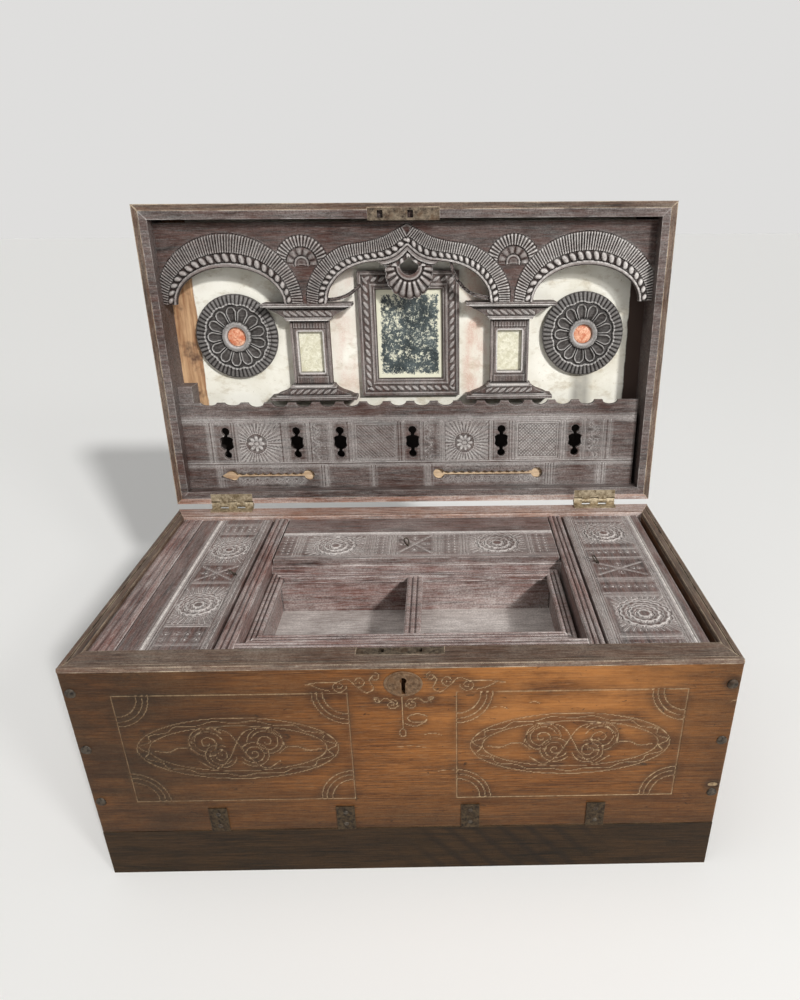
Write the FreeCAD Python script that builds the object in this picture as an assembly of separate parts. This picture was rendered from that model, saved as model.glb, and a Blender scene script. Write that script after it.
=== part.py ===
import FreeCAD, Part
import math
import os

from FreeCAD import Placement, Rotation, Vector

# A teak dowry chest with a fitted till tray, and carved work lining its lid.
# Millimetres. X runs to the right, Y to the back and Z up. The origin is the
# middle of the underside. The lid is drawn standing open, as it rests.

# Carcase
width = 610.0
depth = 352.0
height = 255.0
wall = 14.0
plinth_height = 57.0
bottom_thickness = 12.0

# Rim mouldings on top of the walls
rim_cap = 5.0
rim_deep = 12.0
rim_front_width = 28.0
rim_back_width = 27.0
bead_radius = 2.8
rim_step = 1.0
bead_share_low = 0.12
bead_share_high = 0.35
ridge_width = 2.5

# Tills and their dividers
till_depth = 75.0
till_floor_thickness = 6.0
lid_board = 8.0
top_drop = 3.0
seat_gap = 0.3
rail_width_left = 17.0
rail_width_right = 15.0
rail_ledge = 6.0
rail_ledge_thickness = 6.0
divider_thickness = 10.0
well_left_share = -0.543
well_right_share = 0.5911
ridge_count = 3
ridge_rise = 1.2
reed_crown_share = 0.32
back_till_front_share = 0.2099
till_wall_thickness = 8.0
well_rail_width = 15.0
well_board_thickness = 8.0
well_front_share = -0.6944
ledge_thickness = 6.0
runner = 8.0

# Till lids
left_strip_width = 24.0
left_lid_outer_gap = 2.0
lid_side_gap = 3.0
lid_end_gap = 2.0
right_lid_outer_gap = 7.0
pivot_inset = 7.0
back_pivot_inset = 12.0
back_lid_gap = 3.0
back_lid_setback = 2.0
pivot_radius = 2.0
pivot_length = 8.0
pivot_clearance = 0.08
bore_facets = 16
lid_groove_width = 2.0
lid_groove_depth = 1.2
left_plain_strip = 22.0
right_plain_strip = 10.0
back_plain_strip = 42.0
till_lid_opening = 105.0

# Loop pulls of bent wire
pull_wire = 0.9
pull_loop_radius = 4.4
pull_shank = 4.0
wire_facets = 6
loop_facets = 18
pull_hole_clearance = 0.1
left_pull_inset = 12.0
left_pull_y = -1.0
right_pull_inset = 20.0
right_pull_y = 17.0
back_pull_offset = -11.0
back_pull_inset = 30.0

# Lift-out tray
tray_gap = 1.5
tray_right_gap = 4.5
tray_drop = 18.0
tray_depth = 52.0
tray_rim = 13.5
tray_rim_thickness = 7.0
tray_side = 8.0
tray_partition = 17.0
tray_partition_board = 7.0
tray_bottom_thickness = 5.0
tray_pin_radius = 1.2

# Lock
lock_centre = -3.0
lock_width = 70.0
lock_case_thickness = 14.0
lock_case_height = 52.0
lock_wall = 1.5
selvedge_length = 80.0
selvedge_width = 12.0
selvedge_thickness = 2.0
slot_spacing = 35.0
slot_length = 5.5
slot_width = 8.0
bolt_throw = 8.0
bolt_height = 5.0
bolt_thickness = 4.0
bolt_hook = 4.0
bolt_drop = 5.2
bolt_gap = 0.3
keyhole_drop = 24.0
keyhole_radius = 3.2
keyhole_length = 18.0
keyhole_slot = 3.6
escutcheon_length = 35.0
escutcheon_height = 27.0
escutcheon_drop = 21.5
escutcheon_facets = 28
keyhole_facets = 12
escutcheon_thickness = 0.8
key_pin_radius = 1.3

# Iron plates and nails on the front
plate_width = 18.0
plate_height = 30.0
plate_thickness = 1.2
plate_centres_share = (-0.613, -0.203, 0.2, 0.607)
plate_nail_share = (0.25, 0.75)
small_nail_head = 2.4
small_nail_dome = 0.7
small_nail_shank = 1.0
small_nail_length = 8.0
big_nail_head = 5.0
big_nail_dome = 2.0
big_nail_shank = 1.6
big_nail_length = 30.0
big_nail_inset = 7.0
big_nail_drops_share = (0.1059, 0.3608, 0.6157)
nail_clearance = 0.1
nail_facets = 8
nail_crown_share = 0.55
shank_facets = 4

# Butt hinges
hinge_centre_share = 0.7689
hinge_length = 53.0
leaf_thickness = 2.0
body_leaf_width = 12.0
lid_leaf_width = 13.0
knuckle_radius = 4.1
knuckle_count = 5
barrel_facets = 14
knuckle_gap = 0.35
pin_radius = 1.5
pin_clearance = 0.06
pin_back = 1.8
pin_rise = 5.9
shut_gap = 2.3
lid_lean = 3.3
web_gap = 0.4
screw_head = 2.6
screw_head_height = 0.6
screw_shank = 1.4
screw_length = 9.0
screw_spacing = 18.0
screw_facets = 6

# Lid case. Heights run up the open lid from its hinged edge, and rises run
# out from the painted backing towards someone who looks into the lid.
rail = 7.0
lining = 9.0
lid_rise = 45.0
backing_thickness = 5.0
lid_top_thickness = 10.0
plate_notch_depth = 2.0
lid_plate_width = 13.0
lid_plate_left = -43.0
lid_plate_right = 38.0
lid_plate_top_inset = 5.0
lid_plate_holes = (-29.0, 5.0)
lid_plate_hole_width = 6.5
lid_plate_hole_height = 8.0
lid_plate_nails = (-37.0, -7.0, 24.0)

# Carved arcade board
arcade_rise = 24.0
arcade_thickness = 6.0
arcade_top_gap = 3.0
arcade_foot_share = 0.7262
rib_relief = 2.0
fillet_relief = 4.0
side_arch_centre_share = 0.7284
side_arch_half_share = 0.218
side_arch_height_share = 0.4607
side_band_half_share = 0.0796
side_band_height_share = 0.4157
arch_bead_share = 0.44
centre_inner_share = ((0.3356, 0.7262), (0.2907, 0.8095), (0.2007, 0.8542), (0.0865, 0.869), (0.0, 0.9107))
centre_outer_share = ((0.4187, 0.7262), (0.3702, 0.8482), (0.263, 0.9137), (0.1107, 0.9435), (0.0, 0.9851))
right_hoop_share = ((0.173, 0.8631), (0.2215, 0.7798), (0.3391, 0.7381))
left_hoop_share = ((-0.3391, 0.7381), (-0.263, 0.7515), (-0.1972, 0.7857))
fan_centre_share = 0.4256
fan_height_share = 0.8661
fan_radius = 28.0
fan_relief = 1.5
shell_centre = 1.5
shell_drop = 29.0
shell_radius = 27.0
shell_lobe = 6.5
shell_lobes = 7
lobe_facets = 12
shell_neck = 38.0
star_half = 14.0
star_rise = 11.0
star_lift = 7.5
star_pinch_share = 0.333
hoop_width = 4.0
hoop_thickness = 4.0

# Column pieces
column_centre_share = 0.4239
column_half = 23.5
column_gap = 1.0
pedestal_height = 14.0
capital_height = 16.0
slab_half_share = 0.1869
slab_height = 4.0
slab_rise = 30.0
flare_rise = 20.0
flare_bend_shares = (0.45, 0.7)
shaft_rise = 15.0
band_half = 29.0
band_relief = 2.0
window_half = 15.0
window_sill = 15.0
window_head = 14.0
window_floor = 6.0
insert_thickness = 2.0
insert_gap = 0.2

# Mirror
mirror_left_share = -0.2163
mirror_right_share = 0.2093
mirror_gap_low = 3.0
mirror_high_share = 0.8304
mirror_band = 21.5
mirror_rise = 9.0
mirror_lip = 5.0
mirror_dip = 1.0
mirror_crest_shares = (0.3, 0.6)
mirror_rebate = 3.0
mirror_rebate_depth = 3.0
mirror_glass = 2.0
mirror_gap = 0.2

# Roundels
roundel_centre_share = 0.7388
roundel_height_share = 0.6071
roundel_radius_share = 0.173
roundel_back = 2.0
roundel_edge = 6.0
roundel_rim_inner = 35.5
roundel_rim_rise = 10.5
roundel_field = 7.5
roundel_ring_outer = 20.0
roundel_ring_inner = 11.5
roundel_ring_rise = 13.0
roundel_spacer = 30.0
disc_facets = 32
petal_count = 12
petal_inner = 18.0
petal_root = 2.6
petal_wide = 27.0
petal_half_width = 6.2
petal_shoulder = 31.5
petal_outer = 35.0
petal_relief = 2.5
insert_radius = 11.3
insert_floor = 5.5
insert_rise = 8.0

# Pierced gallery panel with the pocket behind it
gallery_right_gap = 5.0
gallery_top_share = 0.378
gallery_rise = 26.0
gallery_thickness = 6.0
scallop_half = 9.0
scallop_floor_half = 4.5
scallop_depth = 5.5
scallop_pitch_share = 0.1021
scallop_first_share = -0.8737
scallop_count = 18
baluster_places_share = (-0.8166, -0.5087, -0.3183, 0.0, 0.391, 0.7163)
baluster_circle = 5.2
piercing_facets = 12
baluster_low_share = 0.4764
baluster_high_share = 0.7165
baluster_neck = 2.3
baluster_half = 8.6
baluster_steps_share = (0.5236, 0.5551, 0.6496, 0.6654)
slot_places_share = ((-0.8062, -0.4671), (0.1142, 0.5536))
slot_height_share = 0.2598
slot_half = 3.0
slot_end_radius = 7.5
block_width = 17.0
block_high_share = 1.1575
block_low_share = 0.8661

# Sizes worked out from the ones above
overrun = 1.0
x_out = width / 2
y_out = depth / 2
x_in = x_out - wall
y_in = y_out - wall
rim_front_inner = -y_out + rim_front_width
rim_back_inner = y_out - rim_back_width
lid_top = height - top_drop
lid_under = lid_top - lid_board
floor_top = height - till_depth - top_drop
tray_top = height - tray_drop
tray_under = tray_top - tray_depth
lid_rim_depth = lid_rise + backing_thickness
inner_half = x_out - rail - lining
inner_low = rail + lining
inner_high = depth - rail - lining
well_left = x_in * well_left_share
well_front = y_in * well_front_share
back_till_front = y_in * back_till_front_share
well_right = x_in * well_right_share
hinge_centre = x_out * hinge_centre_share
arcade_top = inner_high - arcade_top_gap
arcade_foot = inner_high * arcade_foot_share
arcade_height = arcade_top - arcade_foot
side_arch_centre = inner_half * side_arch_centre_share
side_arch_half = inner_half * side_arch_half_share
side_arch_height = arcade_height * side_arch_height_share
side_band_half = inner_half * side_band_half_share
side_band_height = arcade_height * side_band_height_share
fan_centre = inner_half * fan_centre_share
fan_height = inner_high * fan_height_share
shell_height = inner_high * centre_inner_share[-1][1] - shell_drop
star_height = shell_height + star_lift
gallery_left = -inner_half
gallery_right = inner_half - gallery_right_gap
gallery_top = inner_high * gallery_top_share
scallop_pitch = inner_half * scallop_pitch_share
scallop_first = inner_half * scallop_first_share
baluster_low = gallery_top * baluster_low_share
baluster_high = gallery_top * baluster_high_share
slot_height = gallery_top * slot_height_share
block_high = gallery_top * block_high_share
block_low = gallery_top * block_low_share
column_centre = inner_half * column_centre_share
column_base = gallery_top + column_gap
column_base_top = column_base + slab_height + pedestal_height
column_neck = arcade_foot - slab_height - capital_height
slab_half = inner_half * slab_half_share
window_low = column_base_top + window_sill
window_high = column_neck - window_head
mirror_left = inner_half * mirror_left_share
mirror_right = inner_half * mirror_right_share
mirror_low = gallery_top + mirror_gap_low
mirror_high = inner_high * mirror_high_share
roundel_centre = inner_half * roundel_centre_share
roundel_height = inner_high * roundel_height_share
roundel_radius = inner_half * roundel_radius_share


def block(x0, x1, y0, y1, z0, z1):
    """A box between two opposite corners."""
    return Part.makeBox(x1 - x0, y1 - y0, z1 - z0, Vector(x0, y0, z0))


def face(*steps):
    """A face from corner points. A pair of points stands for an arc through the first to the second."""
    start = here = Vector(*steps[0], 0)
    edges = []
    for step in steps[1:] + (steps[0],):
        if isinstance(step[0], tuple):
            end = Vector(*step[1], 0)
            edges.append(Part.Arc(here, Vector(*step[0], 0), end).toShape())
        else:
            end = Vector(*step, 0)
            if end.distanceToPoint(here) > 0:
                edges.append(Part.LineSegment(here, end).toShape())
        here = end
    return Part.Face(Part.Wire(edges))


def along_z(outline, z0, z1):
    """Extrude an X-Y outline from z0 to z1."""
    solid = outline.extrude(Vector(0, 0, z1 - z0))
    solid.translate(Vector(0, 0, z0))
    return solid


def along_x(outline, x0, x1):
    """Extrude a Y-Z outline from x0 to x1."""
    solid = outline.extrude(Vector(0, 0, x1 - x0))
    solid.Placement = Placement(Vector(x0, 0, 0), Rotation(Vector(0, 1, 0), Vector(0, 0, 1), Vector(1, 0, 0), "XYZ"))
    return solid


def along_y(outline, y0, y1):
    """Extrude an X-Z outline from y0 to y1."""
    solid = outline.extrude(Vector(0, 0, y1 - y0))
    solid.Placement = Placement(Vector(0, y1, 0), Rotation(Vector(1, 0, 0), 90))
    return solid


def cylinder(radius, start, end):
    """A round bar from one point to another."""
    axis = Vector(*end) - Vector(*start)
    return Part.makeCylinder(radius, axis.Length, Vector(*start), axis)


def bar(sides, radius, start, end):
    """A forged or turned bar with a few flat sides, from one point to another."""
    return taper(sides, radius, radius, start, end)


def taper(sides, radius0, radius1, start, end):
    """A bar with flat sides whose radius changes from one end to the other."""
    axis = Vector(*end) - Vector(*start)
    loops = []
    for radius, level in ((radius0, 0), (radius1, axis.Length)):
        corners = []
        for index in range(sides + 1):
            angle = 2 * math.pi * (index + 0.5) / sides
            corners.append(Vector(radius * math.cos(angle), radius * math.sin(angle), level))
        loops.append(Part.makePolygon(corners))
    solid = Part.makeLoft(loops, True, True)
    solid.Placement = Placement(Vector(*start), Rotation(Vector(0, 0, 1), axis))
    return solid


def running_hole(radius, clearance, start, end):
    """A hole for a round pin, with flats that clear it by the same amount at their middles."""
    return bar(bore_facets, (radius + clearance) / math.cos(math.pi / bore_facets), start, end)


def fuse(shapes):
    """Join shapes into one solid."""
    first, rest = shapes[0], shapes[1:]
    return first.multiFuse(rest).removeSplitter() if rest else first


def group(shapes):
    """Separate solids kept in one node."""
    return Part.makeCompound([solid for shape in shapes for solid in shape.Solids])


def mirrored(shape):
    """The left-hand twin of a right-hand piece."""
    return shape.mirror(Vector(0, 0, 0), Vector(1, 0, 0))


def ridges(start, end, level, rise, count):
    """Corner points for a row of reeds between two places on a level line. Each reed has a flat crown."""
    pitch = (end - start) / count
    steps = []
    for index in range(count):
        foot = start + pitch * index
        steps += [(foot + pitch * reed_crown_share, level + rise),
                  (foot + pitch * (1 - reed_crown_share), level + rise), (foot + pitch, level)]
    return steps


# The open lid's frame
pin_y = y_out + pin_back
pin_z = height + pin_rise
pin_up = -pin_back
pin_out = lid_rise + shut_gap - pin_rise
lid_turn = Rotation(Vector(1, 0, 0), 90 - lid_lean)
lid_place = Placement(Vector(0, pin_y, pin_z) - lid_turn.multVec(Vector(0, pin_up, pin_out)), lid_turn)


def in_lid(shape):
    """Carry a piece drawn flat in the lid's own frame to the open lid."""
    placed = shape.copy()
    placed.Placement = lid_place.multiply(shape.Placement)
    return placed


parts = {}


# Fasteners
def nail(x, z, head, dome, shank, length, y_face):
    """A forged nail driven into the front: a domed head, a square shank, and the hole that it needs."""
    crown = (x, y_face - dome, z)
    body = fuse([
        taper(nail_facets, head * nail_crown_share, head, crown, (x, y_face, z)),
        bar(shank_facets, shank, (x, y_face, z), (x, y_face + length, z)),
    ])
    hole = bar(shank_facets, shank + nail_clearance, (x, y_face - overrun, z), (x, y_face + length + nail_clearance, z))
    return body, hole


plate_low = plinth_height + seat_gap
big_nails = [
    nail(side * (x_out - big_nail_inset), height * (1 - share), big_nail_head, big_nail_dome,
         big_nail_shank, big_nail_length, -y_out)
    for side in (-1, 1) for share in big_nail_drops_share
]
plate_nails = [
    nail(share * x_out, plate_low + plate_height * up, small_nail_head, small_nail_dome,
         small_nail_shank, small_nail_length, -y_out - plate_thickness)
    for share in plate_centres_share for up in plate_nail_share
]
parts["front_nails"] = group([body for body, hole in big_nails])
parts["plate_nails"] = group([body for body, hole in plate_nails])
plates = [
    block(share * x_out - plate_width / 2, share * x_out + plate_width / 2,
          -y_out - plate_thickness, -y_out, plate_low, plate_low + plate_height)
    for share in plate_centres_share
]
parts["base_plates"] = group([plate.cut([hole for body, hole in plate_nails]) for plate in plates])


# Carcase boards
key_axis = height - keyhole_drop + keyhole_length / 2 - keyhole_radius


def keyhole(y0, y1):
    """The keyhole, a round eye over a slot."""
    z = height - keyhole_drop
    eye = bar(keyhole_facets, keyhole_radius, (0, y0, key_axis), (0, y1, key_axis))
    slot = block(-keyhole_slot / 2, keyhole_slot / 2, y0, y1, z - keyhole_length / 2, key_axis)
    return fuse([eye, slot])


board_top = height - rim_cap
front = block(-x_out, x_out, -y_out, -y_in, plinth_height, board_top)
front = front.cut([hole for body, hole in big_nails + plate_nails])
parts["front_board"] = front.cut(keyhole(-y_out - overrun, -y_in + overrun))
parts["back_board"] = block(-x_out, x_out, y_in, y_out, plinth_height, board_top)
end_board = block(x_in, x_out, -y_in, y_in, plinth_height, board_top)
parts["left_end_board"] = mirrored(end_board).cut([hole for body, hole in big_nails])
parts["right_end_board"] = end_board.cut([hole for body, hole in big_nails])
parts["bottom_board"] = block(-x_in, x_in, -y_in, y_in, 0, bottom_thickness)
parts["plinth_boards"] = group([
    block(-x_out, x_out, -y_out, -y_in, 0, plinth_height),
    block(-x_out, x_out, y_in, y_out, 0, plinth_height),
    block(x_in, x_out, -y_in, y_in, 0, plinth_height),
    block(-x_out, -x_in, -y_in, y_in, 0, plinth_height),
])

# Rim mouldings, mitred at the corners
rim_floor = height - rim_cap
rim_band = height - rim_step
bead_width = 2 * bead_radius
ridge_end = rim_front_inner - ridge_width
front_profile = face(
    (-y_out, rim_floor),
    (-y_out, height - bead_radius),
    (-y_out + bead_width * bead_share_low, height - bead_radius * bead_share_low),
    (-y_out + bead_width * bead_share_high, height),
    (-y_out + bead_width * (1 - bead_share_high), height),
    (-y_out + bead_width * (1 - bead_share_low), height - bead_radius * bead_share_low),
    (-y_out + bead_width, height - bead_radius),
    (-y_out + bead_width, rim_band),
    *ridges(ridge_end, rim_front_inner, rim_band, rim_step, 1),
    (rim_front_inner, rim_floor),
)
back_profile = face(
    (y_out, rim_floor),
    (rim_back_inner, rim_floor),
    (rim_back_inner, rim_band),
    *ridges(rim_back_inner, rim_back_inner + ridge_width, rim_band, rim_step, 1),
    (rim_back_inner + 2 * ridge_width, rim_band),
    (rim_back_inner + 2 * ridge_width, height),
    (y_out, height),
)
corner = (x_out, x_in)


def mitre(y_edge, y_inside):
    """The plan outline of a front or back rim."""
    return along_z(face((-corner[0], y_edge), (corner[0], y_edge), (corner[1], y_inside),
                        (-corner[1], y_inside)), rim_floor, height + overrun)


selvedge_back = rim_front_inner
selvedge_front = selvedge_back - selvedge_width
selvedge_left = lock_centre - selvedge_length / 2
lock_left = lock_centre - lock_width / 2
case_back = selvedge_back
case_front = case_back - lock_case_thickness
case_top = rim_band - selvedge_thickness
case_low = case_top - lock_case_height

pin_level = lid_under + lid_board / 2
left_lid_outer = -x_in + left_strip_width + left_lid_outer_gap
left_pivot_x = left_lid_outer + pivot_inset
right_lid_outer = x_in - right_lid_outer_gap
right_pivot_x = right_lid_outer - pivot_inset
back_lid_rear = rim_back_inner - back_lid_gap
back_pivot_y = back_lid_rear - back_pivot_inset


def pivot_hole(start, end):
    """A hole in which a till lid's pivot turns."""
    return running_hole(pivot_radius, pivot_clearance, start, end)


side_holes = [
    pivot_hole((x, rim_front_inner - pivot_length, pin_level), (x, rim_back_inner + pivot_length, pin_level))
    for x in (left_pivot_x, right_pivot_x)
]
front_deep = block(-x_in, x_in, -y_in, rim_front_inner, height - rim_deep, rim_floor)
back_deep = block(-x_in, x_in, rim_back_inner, y_in, height - rim_deep, rim_floor)
rim_front = fuse([along_x(front_profile, -x_out, x_out).common(mitre(-y_out, rim_front_inner)), front_deep])
selvedge_seat = block(selvedge_left, selvedge_left + selvedge_length, selvedge_front, selvedge_back,
                      case_top, height + overrun)
case_seat = block(lock_left, lock_left + lock_width, case_front, case_back, case_low, case_top + overrun)
parts["rim_front"] = rim_front.cut([selvedge_seat, case_seat] + side_holes)
rim_back = fuse([along_x(back_profile, -x_out, x_out).common(mitre(y_out, rim_back_inner)), back_deep])


def hinge_xs():
    """The middle of each hinge."""
    return (-hinge_centre, hinge_centre)


def screw_xs(middle):
    """The three screws of a hinge leaf."""
    return [middle + screw_spacing * step for step in (-1, 0, 1)]


body_leaf_front = y_out - body_leaf_width
screw_y = (body_leaf_front + y_out - web_gap - knuckle_radius + pin_back) / 2
leaf_top = height + leaf_thickness
body_screw_places = [(x, screw_y) for middle in hinge_xs() for x in screw_xs(middle)]


def screw(x, y, z_face, head, length):
    """A screw with a low head, and the hole that it needs."""
    body = fuse([
        bar(screw_facets, head, (x, y, z_face), (x, y, z_face + screw_head_height)),
        bar(screw_facets, screw_shank, (x, y, z_face - length), (x, y, z_face)),
    ])
    hole = bar(screw_facets, screw_shank + nail_clearance, (x, y, z_face - length - nail_clearance),
               (x, y, z_face + overrun))
    return body, hole


side_rim = along_z(face((-x_out, -y_out), (-x_in, rim_front_inner), (-x_in, rim_back_inner), (-x_out, y_out)),
                   rim_floor, height)
edge_strip = along_y(face(
    (-x_out, rim_floor),
    (-x_in, rim_floor),
    (-x_in, rim_band),
    *ridges(-x_in, -x_in - ridge_width, rim_band, rim_step, 1),
    (-x_out + bead_width, rim_band),
    (-x_out + bead_width, height - bead_radius),
    (-x_out + bead_width * (1 - bead_share_low), height - bead_radius * bead_share_low),
    (-x_out + bead_width * (1 - bead_share_high), height),
    (-x_out + bead_width * bead_share_high, height),
    (-x_out + bead_width * bead_share_low, height - bead_radius * bead_share_low),
    (-x_out, height - bead_radius),
), -y_out, y_out)
parts["rim_left"] = edge_strip.common(side_rim)
parts["rim_right"] = mirrored(parts["rim_left"])

# Dividers of the fitted tray, with moulded tops and a ledge for each till lid
ledge_top = lid_under - seat_gap
rail_under = ledge_top - rail_ledge_thickness


def divider(inner, outward, rail_width):
    """A divider board under its moulded rail. It is drawn across X, and outward is -1 or 1."""
    rail_end = inner + outward * rail_width
    ledge_end = rail_end + outward * rail_ledge
    board_end = inner + outward * divider_thickness
    lower = face((inner, floor_top), (board_end, floor_top), (board_end, rail_under), (ledge_end, rail_under),
                 (ledge_end, ledge_top), (inner, ledge_top))
    upper = face((inner, ledge_top), (rail_end, ledge_top), (rail_end, lid_top - ridge_rise),
                 *ridges(rail_end, inner, lid_top - ridge_rise, ridge_rise, ridge_count))
    between = along_y(upper, rim_front_inner, rim_back_inner)
    housed = along_y(lower, -y_in, y_in)
    rims = [block(-x_out, x_out, -y_out, rim_front_inner, height - rim_deep, height),
            block(-x_out, x_out, rim_back_inner, y_out, height - rim_deep, height)]
    return fuse([between, housed.cut(rims)])


back_pivots = [pivot_hole((well_left - pivot_length, back_pivot_y, pin_level),
                          (well_right + pivot_length, back_pivot_y, pin_level))]
parts["left_divider"] = divider(well_left, -1, rail_width_left).cut(back_pivots)
parts["right_divider"] = divider(well_right, 1, rail_width_right).cut(back_pivots)

# Framing of the well that the lift-out tray drops into
well_rail_back = rim_front_inner + well_rail_width
rail_profile = face((rim_front_inner, rail_under), (well_rail_back, rail_under),
                    (well_rail_back, lid_top - ridge_rise),
                    *ridges(well_rail_back, rim_front_inner, lid_top - ridge_rise, ridge_rise, ridge_count))
parts["well_front_rail"] = along_x(rail_profile, well_left, well_right)
ledge_level = tray_top - tray_rim_thickness
parts["well_front_board"] = fuse([
    block(well_left, well_right, well_front - well_board_thickness, well_front, floor_top, ledge_level),
    block(well_left, well_right, well_rail_back, well_front, ledge_level, ledge_level + ledge_thickness),
    block(well_left, well_right, well_rail_back - well_board_thickness, well_rail_back, ledge_level, rail_under),
])
parts["back_till_wall"] = block(well_left, well_right, back_till_front, back_till_front + till_wall_thickness,
                                floor_top, ledge_top)
floor_low = floor_top - till_floor_thickness
left_board_x = well_left - divider_thickness
right_board_x = well_right + divider_thickness
parts["left_till_floor"] = block(-x_in, left_board_x + divider_thickness, -y_in, y_in, floor_low, floor_top)
parts["right_till_floor"] = block(right_board_x - divider_thickness, x_in, -y_in, y_in, floor_low, floor_top)
parts["back_till_floor"] = block(well_left, well_right, back_till_front, y_in, floor_low, floor_top)
parts["tray_runners"] = group([
    block(well_left, well_left + runner, well_front, back_till_front, tray_under - runner, tray_under),
    block(well_right - runner, well_right, well_front, back_till_front, tray_under - runner, tray_under),
])
strip_outer = -x_in
strip_inner = -x_in + left_strip_width
strip_profile = face((strip_outer, lid_under), (strip_inner, lid_under), (strip_inner, lid_top - ridge_rise),
                     *ridges(strip_inner, strip_outer, lid_top - ridge_rise, ridge_rise, ridge_count))
parts["left_till_strip"] = along_y(strip_profile, rim_front_inner, rim_back_inner)


# Till lids
def pull(x, y, turn):
    """A wire loop on a shank. The loop stands across Y, or across X when turned."""
    centre_z = lid_top + pull_loop_radius + pull_wire
    reach_x, reach_y = (pull_wire, 0) if turn else (0, pull_wire)
    ends = ((x - reach_x, y - reach_y, centre_z), (x + reach_x, y + reach_y, centre_z))
    loop = bar(loop_facets, pull_loop_radius + pull_wire, *ends)
    loop = loop.cut(bar(loop_facets, pull_loop_radius - pull_wire, *ends))
    shank = bar(wire_facets, pull_wire, (x, y, lid_top - pull_shank), (x, y, lid_top + pull_wire))
    hole = bar(wire_facets, pull_wire + pull_hole_clearance, (x, y, lid_top - pull_shank - pull_hole_clearance),
               (x, y, lid_top + overrun))
    return fuse([loop, shank]), hole


def groove(x0, x1, y0, y1):
    """A shallow trench in a till lid's top."""
    return block(x0, x1, y0, y1, lid_top - lid_groove_depth, lid_top + overrun)


lid_front = rim_front_inner + lid_end_gap
lid_rear = rim_back_inner - lid_end_gap
left_lid_inner = well_left - rail_width_left - lid_side_gap
right_lid_inner = well_right + rail_width_right + lid_side_gap
back_lid_left = well_left + lid_end_gap
back_lid_right = well_right - lid_end_gap
back_lid_front = back_till_front + back_lid_setback

back_middle = (back_lid_left + back_lid_right) / 2
left_pull, left_pull_hole = pull(left_lid_inner - left_pull_inset, left_pull_y, True)
right_pull, right_pull_hole = pull(right_lid_inner + right_pull_inset, right_pull_y, True)
back_pull, back_pull_hole = pull(back_middle + back_pull_offset, back_lid_front + back_pull_inset, False)
parts["left_till_pull"] = left_pull
parts["right_till_pull"] = right_pull
parts["back_till_pull"] = back_pull


def side_lid(inner, outer, pivot_x, strip, pull_hole):
    """A till lid beside the well, with its two pivots and the groove that marks off its plain strip."""
    low_x, high_x = min(inner, outer), max(inner, outer)
    board = block(low_x, high_x, lid_front, lid_rear, lid_under, lid_top)
    pivots = cylinder(pivot_radius, (pivot_x, rim_front_inner - pivot_length + seat_gap, pin_level),
                      (pivot_x, rim_back_inner + pivot_length - seat_gap, pin_level))
    inward = math.copysign(1, inner - outer)
    edge = outer + inward * strip
    near, far = sorted((edge, edge + inward * lid_groove_width))
    return fuse([board, pivots]).cut([groove(near, far, lid_front - overrun, lid_rear + overrun), pull_hole])


parts["left_till_lid"] = side_lid(left_lid_inner, left_lid_outer, left_pivot_x, left_plain_strip, left_pull_hole)
parts["right_till_lid"] = side_lid(right_lid_inner, right_lid_outer, right_pivot_x, right_plain_strip,
                                   right_pull_hole)
back_board = block(back_lid_left, back_lid_right, back_lid_front, back_lid_rear, lid_under, lid_top)
back_pivot_bar = cylinder(pivot_radius, (well_left - pivot_length + seat_gap, back_pivot_y, pin_level),
                          (well_right + pivot_length - seat_gap, back_pivot_y, pin_level))
back_groove_y = back_lid_rear - back_plain_strip
parts["back_till_lid"] = fuse([back_board, back_pivot_bar]).cut([
    groove(back_lid_left - overrun, back_lid_right + overrun, back_groove_y - lid_groove_width, back_groove_y),
    back_pull_hole,
])

# Lift-out tray
tray_left = well_left + tray_gap
tray_right = well_right - tray_right_gap
tray_front = well_front + tray_gap
tray_back = back_till_front - tray_gap
tray_shoulder = tray_top - tray_rim_thickness
tray_floor = tray_under + tray_bottom_thickness


def tray_profile(outer, inward):
    """The section of a tray side under its ridged rim."""
    board = outer + inward * tray_side
    rim_end = outer + inward * tray_rim
    crest = tray_top - ridge_rise
    return face((outer, tray_under), (outer, crest), *ridges(outer, rim_end, crest, ridge_rise, ridge_count),
                (rim_end, tray_shoulder), (board, tray_shoulder), (board, tray_under))


def tray_mitre(edge_x, edge_y, cross):
    """A plan outline with mitred ends for one side of the tray."""
    middle_x = (tray_left + tray_right) / 2
    middle_y = (tray_front + tray_back) / 2
    reach = min(tray_right - tray_left, tray_back - tray_front) / 2
    if cross:
        sign = math.copysign(1, middle_y - edge_y)
        outline = face((tray_left, edge_y), (tray_right, edge_y), (tray_right - reach, edge_y + sign * reach),
                       (tray_left + reach, edge_y + sign * reach))
    else:
        sign = math.copysign(1, middle_x - edge_x)
        outline = face((edge_x, tray_front), (edge_x, tray_back), (edge_x + sign * reach, tray_back - reach),
                       (edge_x + sign * reach, tray_front + reach))
    return along_z(outline, tray_under - overrun, tray_top + overrun)


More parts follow.
